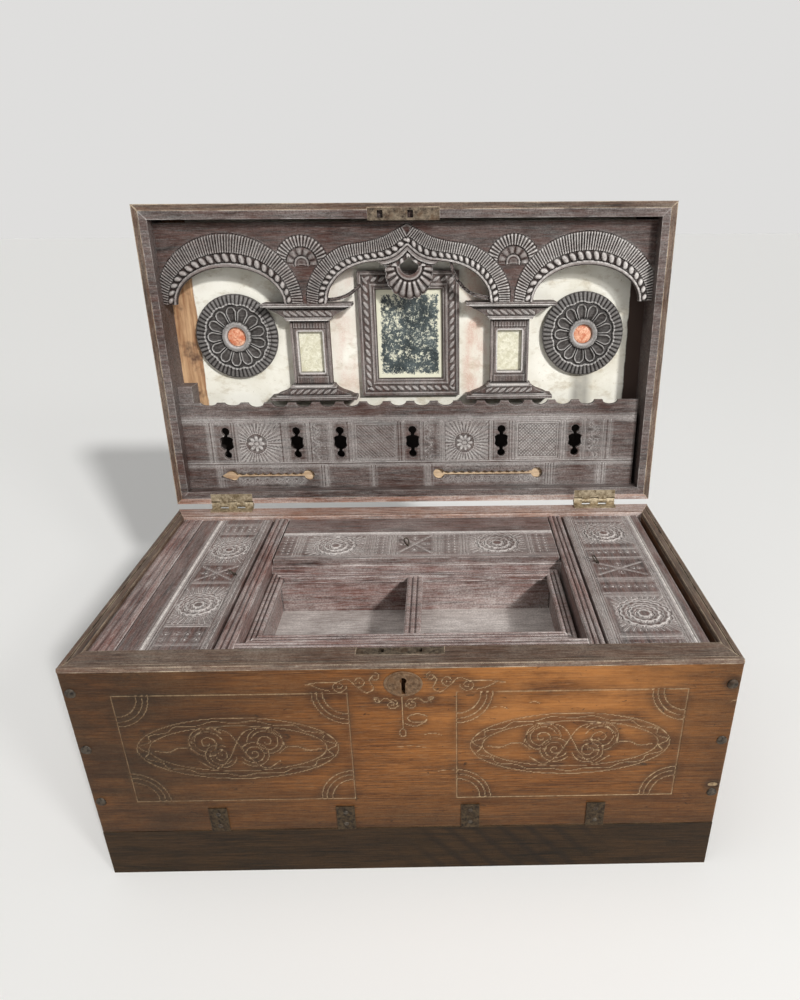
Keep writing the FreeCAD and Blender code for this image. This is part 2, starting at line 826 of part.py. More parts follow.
tray_sides = [
    along_x(tray_profile(tray_front, 1), tray_left, tray_right).common(tray_mitre(0, tray_front, True)),
    along_x(tray_profile(tray_back, -1), tray_left, tray_right).common(tray_mitre(0, tray_back, True)),
    along_y(tray_profile(tray_left, 1), tray_front, tray_back).common(tray_mitre(tray_left, 0, False)),
    along_y(tray_profile(tray_right, -1), tray_front, tray_back).common(tray_mitre(tray_right, 0, False)),
]
tray_bottom = block(tray_left + tray_side, tray_right - tray_side, tray_front + tray_side, tray_back - tray_side,
                    tray_under, tray_floor)
partition_x = (tray_left + tray_right) / 2
partition_y0 = tray_front + tray_side
partition_y1 = tray_back - tray_side
partition_profile = face(
    (partition_x - tray_partition_board / 2, tray_floor),
    (partition_x - tray_partition_board / 2, tray_shoulder),
    (partition_x - tray_partition / 2, tray_shoulder),
    (partition_x - tray_partition / 2, tray_top - ridge_rise),
    *ridges(partition_x - tray_partition / 2, partition_x + tray_partition / 2, tray_top - ridge_rise,
            ridge_rise, ridge_count),
    (partition_x + tray_partition / 2, tray_shoulder),
    (partition_x + tray_partition_board / 2, tray_shoulder),
    (partition_x + tray_partition_board / 2, tray_floor),
)
rim_overlap = [
    block(tray_left, tray_right, tray_front, tray_front + tray_rim, tray_shoulder, tray_top),
    block(tray_left, tray_right, tray_back - tray_rim, tray_back, tray_shoulder, tray_top),
]
partition = along_y(partition_profile, partition_y0, partition_y1).cut(rim_overlap)
pin_hole_x = tray_right - tray_rim / 2
pin_hole = bar(wire_facets, tray_pin_radius, (pin_hole_x, tray_back - 2 * tray_rim, tray_top - tray_rim_thickness / 2),
                    (pin_hole_x, tray_back - 2 * tray_rim, tray_top + overrun))
parts["tray_sides"] = group([side.cut(pin_hole) for side in tray_sides])
parts["tray_partition"] = partition
parts["tray_bottom"] = tray_bottom

# Lock in the front board
slot_xs = (lock_centre - slot_spacing / 2, lock_centre + slot_spacing / 2)
selvedge = block(selvedge_left, selvedge_left + selvedge_length, selvedge_front, selvedge_back, case_top, rim_band)
slots = [
    block(x - slot_length / 2, x + slot_length / 2, selvedge_back - slot_width, selvedge_back - lock_wall,
          case_top - overrun, rim_band + overrun)
    for x in slot_xs
]
case = block(lock_left, lock_left + lock_width, case_front, case_back, case_low, case_top)
case_room = block(lock_left + lock_wall, lock_left + lock_width - lock_wall, case_front + lock_wall,
                  case_back - lock_wall, case_low + lock_wall, case_top)
bolt_top = case_top - bolt_drop
bolt_low = bolt_top - bolt_height
shelf = block(lock_left, lock_left + lock_width, case_front, case_back,
              bolt_low - bolt_gap - lock_wall, bolt_low - bolt_gap)
key_pin = cylinder(key_pin_radius, (0, case_front + lock_wall, key_axis), (0, case_back, key_axis))
key_way = keyhole(case_front - overrun, case_front + lock_wall + overrun)
parts["lock_case"] = fuse([case.cut([case_room, key_way]), shelf, key_pin, selvedge]).cut(slots)
bolt_y = (case_front + case_back) / 2
bolt_left = slot_xs[0] + slot_length / 2
bolt_right = slot_xs[1] + slot_length / 2 + bolt_hook
bolt_bar = block(bolt_left, bolt_right, bolt_y - bolt_thickness / 2, bolt_y + bolt_thickness / 2, bolt_low, bolt_top)
bolt_tips = [
    block(x + slot_length / 2, x + slot_length / 2 + bolt_hook,
          bolt_y - bolt_thickness / 2, bolt_y + bolt_thickness / 2, bolt_top, case_top - bolt_gap)
    for x in slot_xs
]
parts["lock_bolt"] = fuse([bolt_bar] + bolt_tips)
rim_points = []
for index in range(escutcheon_facets):
    angle = 2 * math.pi * index / escutcheon_facets
    rim_points.append((escutcheon_length / 2 * math.cos(angle),
                       height - escutcheon_drop + escutcheon_height / 2 * math.sin(angle)))
escutcheon = along_y(face(*rim_points), -y_out - escutcheon_thickness, -y_out)
parts["escutcheon"] = escutcheon.cut(keyhole(-y_out - escutcheon_thickness - overrun, -y_out + overrun))

# Lid case, drawn flat in the lid's own frame
board_back = -backing_thickness - lid_top_thickness
parts["lid_top_board"] = in_lid(block(-x_out, x_out, 0, depth, board_back, -backing_thickness))


def mitred_frame(half_out, low_out, high_out, thickness, rise0, rise1):
    """Four boards round a rectangle, mitred at the corners: the hinge side, the front, the left and the right."""
    half_in, low_in, high_in = half_out - thickness, low_out + thickness, high_out - thickness
    outlines = [
        face((-half_out, low_out), (half_out, low_out), (half_in, low_in), (-half_in, low_in)),
        face((-half_out, high_out), (-half_in, high_in), (half_in, high_in), (half_out, high_out)),
        face((-half_out, low_out), (-half_in, low_in), (-half_in, high_in), (-half_out, high_out)),
        face((half_out, low_out), (half_out, high_out), (half_in, high_in), (half_in, low_in)),
    ]
    return [along_z(outline, rise0, rise1) for outline in outlines]


knuckle_pitch = hinge_length / knuckle_count
notch_half = hinge_length / 2 + web_gap
notch_depth = knuckle_radius - pin_back + 2 * web_gap
notch_rise = pin_out - knuckle_radius - 2 * web_gap
knuckle_notches = [
    block(middle - notch_half, middle + notch_half, -overrun, notch_depth, notch_rise, lid_rise + overrun)
    for middle in hinge_xs()
]
leaf_seats = [
    block(middle - hinge_length / 2, middle + hinge_length / 2, -overrun, lid_leaf_width,
          lid_rise - leaf_thickness, lid_rise + overrun)
    for middle in hinge_xs()
]
lid_screw_up = (notch_depth + lid_leaf_width) / 2
lid_screws = [screw(x, lid_screw_up, lid_rise - screw_head_height, screw_head, screw_length)
              for middle in hinge_xs() for x in screw_xs(middle)]
lid_screw_holes = [hole for body, hole in lid_screws]
plate_high = depth - lid_plate_top_inset
plate_low_edge = plate_high - lid_plate_width
plate_seat = block(lid_plate_left, lid_plate_right, plate_low_edge, plate_high,
                   lid_rise - plate_notch_depth, lid_rise + overrun)
plate_holes = [
    block(x - lid_plate_hole_width / 2, x + lid_plate_hole_width / 2,
          (plate_low_edge + plate_high - lid_plate_hole_height) / 2,
          (plate_low_edge + plate_high + lid_plate_hole_height) / 2,
          lid_rise - 3 * plate_notch_depth, lid_rise + overrun)
    for x in lid_plate_holes
]
plate_screws = [screw(x, (plate_low_edge + plate_high) / 2, lid_rise, small_nail_head, small_nail_length)
                for x in lid_plate_nails]
plate_screw_holes = [hole for body, hole in plate_screws]
rails = mitred_frame(x_out, 0, depth, rail, -backing_thickness, lid_rise)
linings = mitred_frame(x_out - rail, rail, depth - rail, lining, 0, lid_rise)
hinge_cuts = knuckle_notches + leaf_seats + lid_screw_holes
plate_cuts = [plate_seat] + plate_holes + plate_screw_holes
parts["lid_back_rail"] = in_lid(rails[0].cut(hinge_cuts))
parts["lid_front_rail"] = in_lid(rails[1].cut(plate_cuts))
parts["lid_left_rail"] = in_lid(rails[2])
parts["lid_right_rail"] = in_lid(rails[3])
parts["lid_lining"] = in_lid(group([linings[0].cut(hinge_cuts), linings[1].cut(plate_cuts), linings[2], linings[3]]))
parts["painted_backing"] = in_lid(block(-x_out + rail, x_out - rail, rail, depth - rail, -backing_thickness, 0))
lid_plate = block(lid_plate_left, lid_plate_right, plate_low_edge, plate_high, lid_rise - plate_notch_depth, lid_rise)
parts["lid_lock_plate"] = in_lid(lid_plate.cut(plate_holes + plate_screw_holes))
parts["lid_plate_nails"] = in_lid(group([body for body, hole in plate_screws]))


# Hinges
def knuckles(middle, y, z, radius, odd):
    """The barrels of one leaf along X. The body leaf has the first, third and fifth."""
    found = []
    for index in range(knuckle_count):
        if index % 2 == odd:
            x0 = middle - hinge_length / 2 + knuckle_pitch * index + knuckle_gap / 2
            found.append((x0, x0 + knuckle_pitch - knuckle_gap))
    return [bar(barrel_facets, radius, (x0, y, z), (x1, y, z)) for x0, x1 in found], found


body_leaves = []
lid_leaves = []
body_screws = [screw(x, y, leaf_top - screw_head_height, screw_head, screw_length) for x, y in body_screw_places]
body_screw_holes = [hole for body, hole in body_screws]
counter_body = [bar(screw_facets, screw_head + nail_clearance, (x, y, leaf_top - screw_head_height - nail_clearance),
                    (x, y, leaf_top + overrun)) for x, y in body_screw_places]
counter_lid = [bar(screw_facets, screw_head + nail_clearance,
                   (x, lid_screw_up, lid_rise - screw_head_height - nail_clearance),
                   (x, lid_screw_up, lid_rise + overrun))
               for middle in hinge_xs() for x in screw_xs(middle)]
plate_end = pin_y - knuckle_radius - web_gap
for middle in hinge_xs():
    ends = (middle - hinge_length / 2, middle + hinge_length / 2)
    barrels, spans = knuckles(middle, pin_y, pin_z, knuckle_radius, 0)
    webs = [block(x0, x1, plate_end, pin_y, height, pin_z) for x0, x1 in spans]
    plate = block(ends[0], ends[1], body_leaf_front, plate_end, height, leaf_top)
    bore = running_hole(pin_radius, pin_clearance, (ends[0], pin_y, pin_z), (ends[1], pin_y, pin_z))
    leaf = fuse([plate] + webs + barrels)
    body_leaves.append(leaf.cut([bore] + body_screw_holes + counter_body))
    barrels, spans = knuckles(middle, pin_up, pin_out, knuckle_radius, 1)
    webs = [block(x0, x1, pin_up, notch_depth, pin_out, lid_rise) for x0, x1 in spans]
    plate = block(ends[0], ends[1], notch_depth, lid_leaf_width, lid_rise - leaf_thickness, lid_rise)
    bore = running_hole(pin_radius, pin_clearance, (ends[0], pin_up, pin_out), (ends[1], pin_up, pin_out))
    leaf = fuse([plate] + webs + barrels)
    lid_leaves.append(leaf.cut([bore] + lid_screw_holes + counter_lid))
parts["hinge_body_leaves"] = group(body_leaves)
parts["hinge_lid_leaves"] = in_lid(group(lid_leaves))
parts["hinge_pins"] = group([
    cylinder(pin_radius, (middle - hinge_length / 2, pin_y, pin_z), (middle + hinge_length / 2, pin_y, pin_z))
    for middle in hinge_xs()
])
parts["hinge_body_screws"] = group([body for body, hole in body_screws])
parts["hinge_lid_screws"] = in_lid(group([body for body, hole in lid_screws]))
parts["rim_back"] = rim_back.cut(side_holes + body_screw_holes)
parts["back_board"] = parts["back_board"].cut(body_screw_holes)


# Arcade board
def half_ellipse(centre, grow_x, grow_y):
    """A half ellipse from its right foot over to its left foot."""
    middle = Vector(centre, arcade_foot, 0)
    across = Vector(side_arch_half + grow_x, 0, 0)
    up = Vector(0, side_arch_height + grow_y, 0)
    if across.Length > up.Length:
        curve, start = Part.Ellipse(middle + across, middle + up, middle), 0
    else:
        curve, start = Part.Ellipse(middle + up, middle - across, middle), -math.pi / 2
    return Part.ArcOfEllipse(curve, start, start + math.pi).toShape()


def side_arch(centre, share):
    """The face inside one line of a side arch. Share 0 is its opening and 1 its outermost line."""
    edge = half_ellipse(centre, side_band_half * share, side_band_height * share)
    left, right = edge.Vertexes[1].Point, edge.Vertexes[0].Point
    return Part.Face(Part.Wire([edge, Part.LineSegment(left, right).toShape()]))


def in_lining(places_share):
    """Places in the lid, from shares of half its inside width and of the height of its inside."""
    return [(across * inner_half, up * inner_high) for across, up in places_share]


centre_inner = in_lining(centre_inner_share)
centre_outer = in_lining(centre_outer_share)


def centre_arch(share):
    """The face inside one line of the double-curved centre arch."""
    foot, haunch, shoulder, neck, peak = [
        (a[0] + (b[0] - a[0]) * share, a[1] + (b[1] - a[1]) * share) for a, b in zip(centre_inner, centre_outer)
    ]
    return face(foot, (haunch, shoulder), (neck, peak), ((-neck[0], neck[1]), (-shoulder[0], shoulder[1])),
                ((-haunch[0], haunch[1]), (-foot[0], foot[1])))


board_outline = block(-inner_half, inner_half, arcade_foot, arcade_top, arcade_rise, arcade_rise + arcade_thickness)
arcade_front = arcade_rise + arcade_thickness


def arches(share, rise0, rise1):
    """All three arches inside one line, as a cutter or a blank."""
    outlines = [side_arch(-side_arch_centre, share), side_arch(side_arch_centre, share), centre_arch(share)]
    return [along_z(outline, rise0, rise1) for outline in outlines]


openings = arches(0, arcade_rise - overrun, arcade_front + fillet_relief + overrun)
keep = block(-inner_half, inner_half, arcade_foot, arcade_top, arcade_rise, arcade_front + fillet_relief)
bands = []
for share, relief in ((1, rib_relief), (arch_bead_share, fillet_relief)):
    bands += arches(share, arcade_front - overrun, arcade_front + relief)
fans = []
for side in (-1, 1):
    x = side * fan_centre
    outline = face((x + fan_radius, fan_height), ((x, fan_height + fan_radius), (x - fan_radius, fan_height)))
    fans.append(along_z(outline, arcade_front - overrun, arcade_front + fan_relief))
shell_disc = cylinder(shell_radius, (shell_centre, shell_height, arcade_rise), (shell_centre, shell_height, arcade_front))
lobes = []
for index in range(shell_lobes):
    angle = math.radians(180 + 180 * index / (shell_lobes - 1))
    x = shell_centre + (shell_radius - shell_lobe / 2) * math.cos(angle)
    y = shell_height + (shell_radius - shell_lobe / 2) * math.sin(angle)
    lobes.append(bar(lobe_facets, shell_lobe, (x, y, arcade_rise), (x, y, arcade_front + rib_relief)))
neck = along_z(face((-shell_neck, star_height + star_rise), (-shell_radius, shell_height),
                    (shell_radius, shell_height), (shell_neck, star_height + star_rise)), arcade_rise, arcade_front)
star_waist = star_half * star_pinch_share
star_pinch = star_rise * star_pinch_share
star = along_z(face(
    (shell_centre, star_height + star_rise),
    ((shell_centre + star_waist, star_height + star_pinch), (shell_centre + star_half, star_height)),
    ((shell_centre + star_waist, star_height - star_pinch), (shell_centre, star_height - star_rise)),
    ((shell_centre - star_waist, star_height - star_pinch), (shell_centre - star_half, star_height)),
    ((shell_centre - star_waist, star_height + star_pinch), (shell_centre, star_height + star_rise)),
), arcade_rise - overrun, arcade_front + fillet_relief + overrun)


def hoop(start, middle, end):
    """A thin curved strip of tracery inside the centre arch."""
    centre = Part.Arc(Vector(*start, 0), Vector(*middle, 0), Vector(*end, 0)).toShape().Curve
    shapes = []
    for grow in (-hoop_width / 2, hoop_width / 2):
        shapes.append(cylinder(centre.Radius + grow, (centre.Center.x, centre.Center.y, arcade_rise),
                               (centre.Center.x, centre.Center.y, arcade_rise + hoop_thickness)))
    ring = shapes[1].cut(shapes[0])
    chord = Vector(*end, 0) - Vector(*start, 0)
    out = Vector(*middle, 0) - Vector(*start, 0)
    side = 1 if chord.cross(out).z > 0 else -1
    normal = Vector(-chord.y, chord.x, 0).normalize() * side * centre.Radius
    corners = [Vector(*start, 0), Vector(*end, 0), Vector(*end, 0) + normal, Vector(*start, 0) + normal]
    return ring.common(along_z(face(*[(c.x, c.y) for c in corners]), arcade_rise, arcade_front))


hoops = [hoop(*in_lining(right_hoop_share)), hoop(*in_lining(left_hoop_share))]
carved = fuse([board_outline] + [band.common(keep) for band in bands] + fans)
carved = carved.cut(openings)
pendant = fuse([shell_disc, neck] + lobes)
arcade = fuse([carved, pendant] + hoops).cut(star)
parts["arcade_board"] = in_lid(arcade.common(keep))


# Columns
def flare(level, away, half, reach, drop):
    """A capital or base outline: a shaft of one half width that sweeps out to another."""
    foot = level + away * drop
    bend = (half + (reach - half) * flare_bend_shares[0], level + away * drop * flare_bend_shares[1])
    return face((-half, level), (half, level), (bend, (reach, foot)), (-reach, foot),
                ((-bend[0], bend[1]), (-half, level)))


slab_low = arcade_foot - slab_height
column = fuse([
    block(-column_half, column_half, column_base_top, column_neck, 0, shaft_rise),
    along_z(flare(column_neck, 1, column_half, slab_half - slab_height, slab_low - column_neck), 0, flare_rise),
    along_z(flare(column_base_top, -1, column_half, slab_half - slab_height,
                  column_base_top - column_base - slab_height), 0, flare_rise),
    block(-slab_half, slab_half, slab_low, arcade_foot, 0, slab_rise),
    block(-slab_half, slab_half, column_base, column_base + slab_height, 0, flare_rise + slab_height),
    block(-band_half, band_half, column_neck + slab_height / 2, slab_low - slab_height / 2, 0,
          flare_rise + band_relief),
    block(-band_half, band_half, column_base + slab_height + slab_height / 2, column_base_top - slab_height / 2,
          0, flare_rise + band_relief),
])
column = column.cut(block(-window_half, window_half, window_low, window_high, window_floor, slab_rise))
window_insert = block(-window_half + insert_gap, window_half - insert_gap, window_low + insert_gap,
                      window_high - insert_gap, window_floor, window_floor + insert_thickness)
column_inserts = []
for name, x in (("left_column", -column_centre), ("right_column", column_centre)):
    piece = column.copy()
    piece.translate(Vector(x, 0, 0))
    parts[name] = in_lid(piece)
    pane = window_insert.copy()
    pane.translate(Vector(x, 0, 0))
    column_inserts.append(pane)
parts["column_inserts"] = in_lid(group(column_inserts))


# Mirror
def mirror_section(outer, inward):
    """The section of the mirror frame, in the plane across its length and its rise."""
    inner = outer + inward * mirror_band
    rebate = inner - inward * mirror_rebate
    crest, fall = [outer + inward * mirror_band * share for share in mirror_crest_shares]
    return [(outer, 0), (outer, mirror_rise - mirror_lip / 2),
            ((crest, mirror_rise), (fall, mirror_rise - mirror_dip)),
            (inner, mirror_lip), (inner, mirror_rebate_depth), (rebate, mirror_rebate_depth), (rebate, 0)]


middle_x = (mirror_left + mirror_right) / 2
middle_up = (mirror_low + mirror_high) / 2
reach = (mirror_right - mirror_left) / 2
stile_left = along_y(face(*mirror_section(mirror_left, 1)), mirror_low, mirror_high)
stile_right = along_y(face(*mirror_section(mirror_right, -1)), mirror_low, mirror_high)
rail_low = along_x(face(*mirror_section(mirror_low, 1)), mirror_left, mirror_right)
rail_high = along_x(face(*mirror_section(mirror_high, -1)), mirror_left, mirror_right)
low_wedge = along_z(face((mirror_left, mirror_low), (mirror_right, mirror_low), (middle_x, mirror_low + reach)),
                    -overrun, mirror_rise + overrun)
high_wedge = along_z(face((mirror_left, mirror_high), (middle_x, mirror_high - reach), (mirror_right, mirror_high)),
                     -overrun, mirror_rise + overrun)
parts["mirror_frame"] = in_lid(group([
    stile_left.cut([low_wedge, high_wedge]),
    stile_right.cut([low_wedge, high_wedge]),
    rail_low.common(low_wedge),
    rail_high.common(high_wedge),
]))
glass_inset = mirror_band - mirror_rebate + mirror_gap
parts["mirror_glass"] = in_lid(block(mirror_left + glass_inset, mirror_right - glass_inset,
                                     mirror_low + glass_inset, mirror_high - glass_inset, 0, mirror_glass))

# Roundels
disc = fuse([
    bar(disc_facets, roundel_radius, (0, 0, roundel_back), (0, 0, roundel_edge)),
    taper(disc_facets, roundel_radius, roundel_rim_inner, (0, 0, roundel_edge), (0, 0, roundel_rim_rise)),
])
field = bar(disc_facets, roundel_rim_inner, (0, 0, roundel_field), (0, 0, roundel_rim_rise + overrun))
ring = bar(disc_facets, roundel_ring_outer, (0, 0, roundel_back), (0, 0, roundel_ring_rise))
socket = bar(disc_facets, roundel_ring_inner, (0, 0, insert_floor), (0, 0, roundel_ring_rise + overrun))
petals = []
for index in range(petal_count):
    petal = along_z(face(
        (petal_inner, -petal_root), (petal_wide, -petal_half_width), (petal_shoulder, -petal_half_width),
        (petal_outer, -petal_root), (petal_outer, petal_root), (petal_shoulder, petal_half_width),
        (petal_wide, petal_half_width), (petal_inner, petal_root),
    ), roundel_field - overrun, roundel_field + petal_relief)
    petal.rotate(Vector(0, 0, 0), Vector(0, 0, 1), 360 * (index + 0.5) / petal_count)
    petals.append(petal)
spacer = bar(disc_facets, roundel_spacer, (0, 0, 0), (0, 0, roundel_back))
roundel = fuse([disc.cut(field), spacer, ring] + petals).cut(socket)
bead_insert = bar(disc_facets, insert_radius, (0, 0, insert_floor), (0, 0, insert_rise))
roundels = []
roundel_inserts = []
for x in (-roundel_centre, roundel_centre):
    piece = roundel.copy()
    piece.translate(Vector(x, roundel_height, 0))
    roundels.append(piece)
    button = bead_insert.copy()
    button.translate(Vector(x, roundel_height, 0))
    roundel_inserts.append(button)
parts["roundels"] = in_lid(group(roundels))
parts["roundel_inserts"] = in_lid(group(roundel_inserts))

# Gallery panel
panel = block(gallery_left, gallery_right, inner_low, gallery_top, gallery_rise, gallery_rise + gallery_thickness)
cut_low = gallery_rise - overrun
cut_high = gallery_rise + gallery_thickness + overrun
cuts = []
for index in range(scallop_count):
    x = scallop_first + scallop_pitch * index
    cuts.append(along_z(face(
        (x - scallop_half, gallery_top + overrun), (x - scallop_half, gallery_top),
        (x - scallop_floor_half, gallery_top - scallop_depth), (x + scallop_floor_half, gallery_top - scallop_depth),
        (x + scallop_half, gallery_top), (x + scallop_half, gallery_top + overrun),
    ), cut_low, cut_high))
neck_end, shoulder_low, shoulder_high, crown = [gallery_top * share for share in baluster_steps_share]
for x in [inner_half * share for share in baluster_places_share]:
    for up in (baluster_low, baluster_high):
        cuts.append(bar(piercing_facets, baluster_circle, (x, up, cut_low), (x, up, cut_high)))
    right_side = ((baluster_neck, baluster_low), (baluster_neck, neck_end), (baluster_half, shoulder_low),
                  (baluster_half, shoulder_high), (baluster_neck, crown), (baluster_neck, baluster_high))
    outline = [(x + out, up) for out, up in right_side] + [(x - out, up) for out, up in reversed(right_side)]
    cuts.append(along_z(face(*outline), cut_low, cut_high))
for left, right in [(inner_half * low, inner_half * high) for low, high in slot_places_share]:
    cuts.append(block(left, right, slot_height - slot_half, slot_height + slot_half, cut_low, cut_high))
    for x in (left, right):
        cuts.append(bar(piercing_facets, slot_end_radius, (x, slot_height, cut_low), (x, slot_height, cut_high)))
parts["gallery_panel"] = in_lid(panel.cut(cuts))
parts["gallery_blocks"] = in_lid(group([
    block(-inner_half, -inner_half + block_width, inner_low, block_high, 0, gallery_rise),
    block(gallery_right - block_width, gallery_right, inner_low, block_low, 0, gallery_rise),
]))

os.makedirs("parts", exist_ok=True)
for name, shape in parts.items():
    shape.exportStep("parts/" + name + ".step")
print(len(parts), "nodes,", sum(len(shape.Solids) for shape in parts.values()), "solids")
for name, shape in parts.items():
    if not shape.isValid():
        print("not valid:", name)
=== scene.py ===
import bpy
import math
import numpy as np
from mathutils import Matrix, Vector
from mathutils.geometry import delaunay_2d_cdt


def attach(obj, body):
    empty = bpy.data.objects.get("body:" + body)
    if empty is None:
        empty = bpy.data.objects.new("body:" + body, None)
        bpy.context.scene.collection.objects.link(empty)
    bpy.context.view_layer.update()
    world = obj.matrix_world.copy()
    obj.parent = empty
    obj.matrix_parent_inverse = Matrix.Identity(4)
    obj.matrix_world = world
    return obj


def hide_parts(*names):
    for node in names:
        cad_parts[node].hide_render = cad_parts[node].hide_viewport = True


# A carved dowry chest: every CAD node gets its finish here, and carved,
# moulded and wire pieces are modelled again as fine meshes over the frame.
# Lengths are millimetres until a mesh is made, which is in metres.

MM = 0.001
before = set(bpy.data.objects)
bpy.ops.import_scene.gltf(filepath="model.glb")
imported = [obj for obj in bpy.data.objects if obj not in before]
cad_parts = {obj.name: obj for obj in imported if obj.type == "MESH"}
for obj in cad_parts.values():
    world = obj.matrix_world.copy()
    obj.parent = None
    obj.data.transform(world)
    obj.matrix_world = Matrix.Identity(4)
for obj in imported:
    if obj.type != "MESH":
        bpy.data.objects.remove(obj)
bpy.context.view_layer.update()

# Camera, as the photograph was taken
CAMERA_PLACE = (37.7, -723.4, 640.3)
CAMERA_YAW = math.radians(0.81)
CAMERA_PITCH = math.radians(26.57)
CAMERA_ROLL = math.radians(0.34)
PICTURE_HEIGHT = 1000.0
PICTURE_WIDTH = 800.0
FOCAL_PIXELS = 748.7
PRINCIPAL_POINT = (453.0, 550.4)
SENSOR = 36.0

# The open lid's own frame: across, up from its hinged edge, and out from
# its painted backing
LID_LEAN = math.radians(3.3)
LID_FOOT = (219.235, 260.314)
LID_HALF = 289.0
LID_LOW = 16.0

# Front board and till lids
FRONT_Y = -176.0
FRONT_HALF = 305.0
FRONT_LOW, FRONT_HIGH = 57.0, 250.0
RIM = 255.0
TILL_TOP = 252.0
TILL_UNDER = 244.0


def make_camera():
    forward = Vector((
        math.sin(CAMERA_YAW) * math.cos(CAMERA_PITCH),
        math.cos(CAMERA_YAW) * math.cos(CAMERA_PITCH),
        -math.sin(CAMERA_PITCH)))
    level = Vector((math.cos(CAMERA_YAW), -math.sin(CAMERA_YAW), 0))
    down = forward.cross(level)
    right = level * math.cos(CAMERA_ROLL) + down * math.sin(CAMERA_ROLL)
    low = down * math.cos(CAMERA_ROLL) - level * math.sin(CAMERA_ROLL)
    data = bpy.data.cameras.new("camera")
    camera = bpy.data.objects.new("camera", data)
    bpy.context.scene.collection.objects.link(camera)
    axes = Matrix((right, -low, -forward)).transposed().to_4x4()
    camera.matrix_world = Matrix.Translation(Vector(CAMERA_PLACE) * MM) @ axes
    data.sensor_fit = "VERTICAL"
    data.sensor_height = SENSOR
    data.sensor_width = SENSOR
    data.lens = FOCAL_PIXELS * SENSOR / PICTURE_HEIGHT
    data.shift_x = (PICTURE_WIDTH / 2 - PRINCIPAL_POINT[0]) / PICTURE_HEIGHT
    data.shift_y = (PRINCIPAL_POINT[1] - PICTURE_HEIGHT / 2) / PICTURE_HEIGHT
    data.clip_start = 0.01
    data.clip_end = 100
    bpy.context.scene.camera = camera


make_camera()


# Materials
SHUT_IN_SAMPLES = 4


def colour(red, green, blue):
    """A linear colour from screen values of 0 to 255."""
    parts = []
    for value in (red, green, blue):
        share = value / 255
        parts.append(share / 12.92 if share <= 0.04045 else ((share + 0.055) / 1.055) ** 2.4)
    return (*parts, 1)


class Finish:
    """A procedural material, built node by node."""

    def __init__(self, name, roughness=0.6, metallic=0.0):
        self.material = bpy.data.materials.new(name)
        self.material.use_nodes = True
        self.tree = self.material.node_tree
        self.shader = self.tree.nodes["Principled BSDF"]
        self.shader.inputs["Roughness"].default_value = roughness
        self.shader.inputs["Metallic"].default_value = metallic
        self.place = self.tree.nodes.new("ShaderNodeTexCoord").outputs["Object"]

    def link(self, value, socket):
        if isinstance(value, bpy.types.NodeSocket):
            self.tree.links.new(value, socket)
        else:
            socket.default_value = value

    def add(self, kind, inputs, **settings):
        """The outputs of a new node, whose inputs are linked to sockets or set to values."""
        node = self.tree.nodes.new(kind)
        for key, value in settings.items():
            setattr(node, key, value)
        for key, value in inputs.items():
            self.link(value, node.inputs[key])
        return node.outputs

    def noise(self, scale, detail=3.0, rough=0.55, warp=0.0):
        """Noise with so many features per metre, on each axis or on all alike."""
        scale = scale if isinstance(scale, tuple) else (scale, scale, scale)
        spread = self.add("ShaderNodeMapping", {"Vector": self.place, "Scale": scale})["Vector"]
        return self.add("ShaderNodeTexNoise", {"Vector": spread, "Scale": 1.0, "Detail": detail,
                                               "Roughness": rough, "Distortion": warp})["Fac"]

    def ramp(self, value, low, high, to_low=0.0, to_high=1.0):
        return self.add("ShaderNodeMapRange", {"Value": value, "From Min": low, "From Max": high,
                                               "To Min": to_low, "To Max": to_high})["Result"]

    def math(self, kind, first, second=0):
        return self.add("ShaderNodeMath", {0: first, 1: second}, operation=kind)[0]

    def times(self, product, *others):
        for value in others:
            product = self.math("MULTIPLY", product, value)
        return product

    def plus(self, first, second):
        return self.math("ADD", first, second)

    def most(self, first, second):
        return self.math("MAXIMUM", first, second)

    def mix(self, first, second, share, blend="MIX"):
        return self.add("ShaderNodeMix", {"Factor": share, "A": first, "B": second},
                        data_type="RGBA", blend_type=blend)["Result"]

    def attribute(self, name):
        return self.add("ShaderNodeAttribute", {}, attribute_name=name)["Fac"]

    def shut_in(self, reach, inside):
        return self.add("ShaderNodeAmbientOcclusion", {"Distance": reach * MM},
                        inside=inside, only_local=True, samples=SHUT_IN_SAMPLES)["AO"]

    def edge(self, reach=1.3, full=0.6):
        """How near a convex edge of its own piece a point lies."""
        return self.ramp(self.shut_in(reach, True), 0.92, full)

    def hollow(self, reach=3.0, full=0.55):
        """How deep in a groove or corner of its own piece a point lies."""
        return self.ramp(self.shut_in(reach, False), 0.95, full)

    def axis(self, index):
        return self.add("ShaderNodeSeparateXYZ", {0: self.place})[index]

    def bump(self, height, distance, strength=1.0):
        ways = self.add("ShaderNodeBump", {"Distance": distance * MM, "Strength": strength, "Height": height})
        self.link(ways["Normal"], self.shader.inputs["Normal"])

    def finish(self, base, roughness=None):
        self.link(base, self.shader.inputs["Base Color"])
        if roughness is not None:
            self.link(roughness, self.shader.inputs["Roughness"])
        return self.material


def along(axis, length, across):
    """How many features per metre, with the grain along one axis."""
    return tuple(length if index == axis else across for index in range(3))


GRIME_AND_SHADE = colour(150, 134, 118)


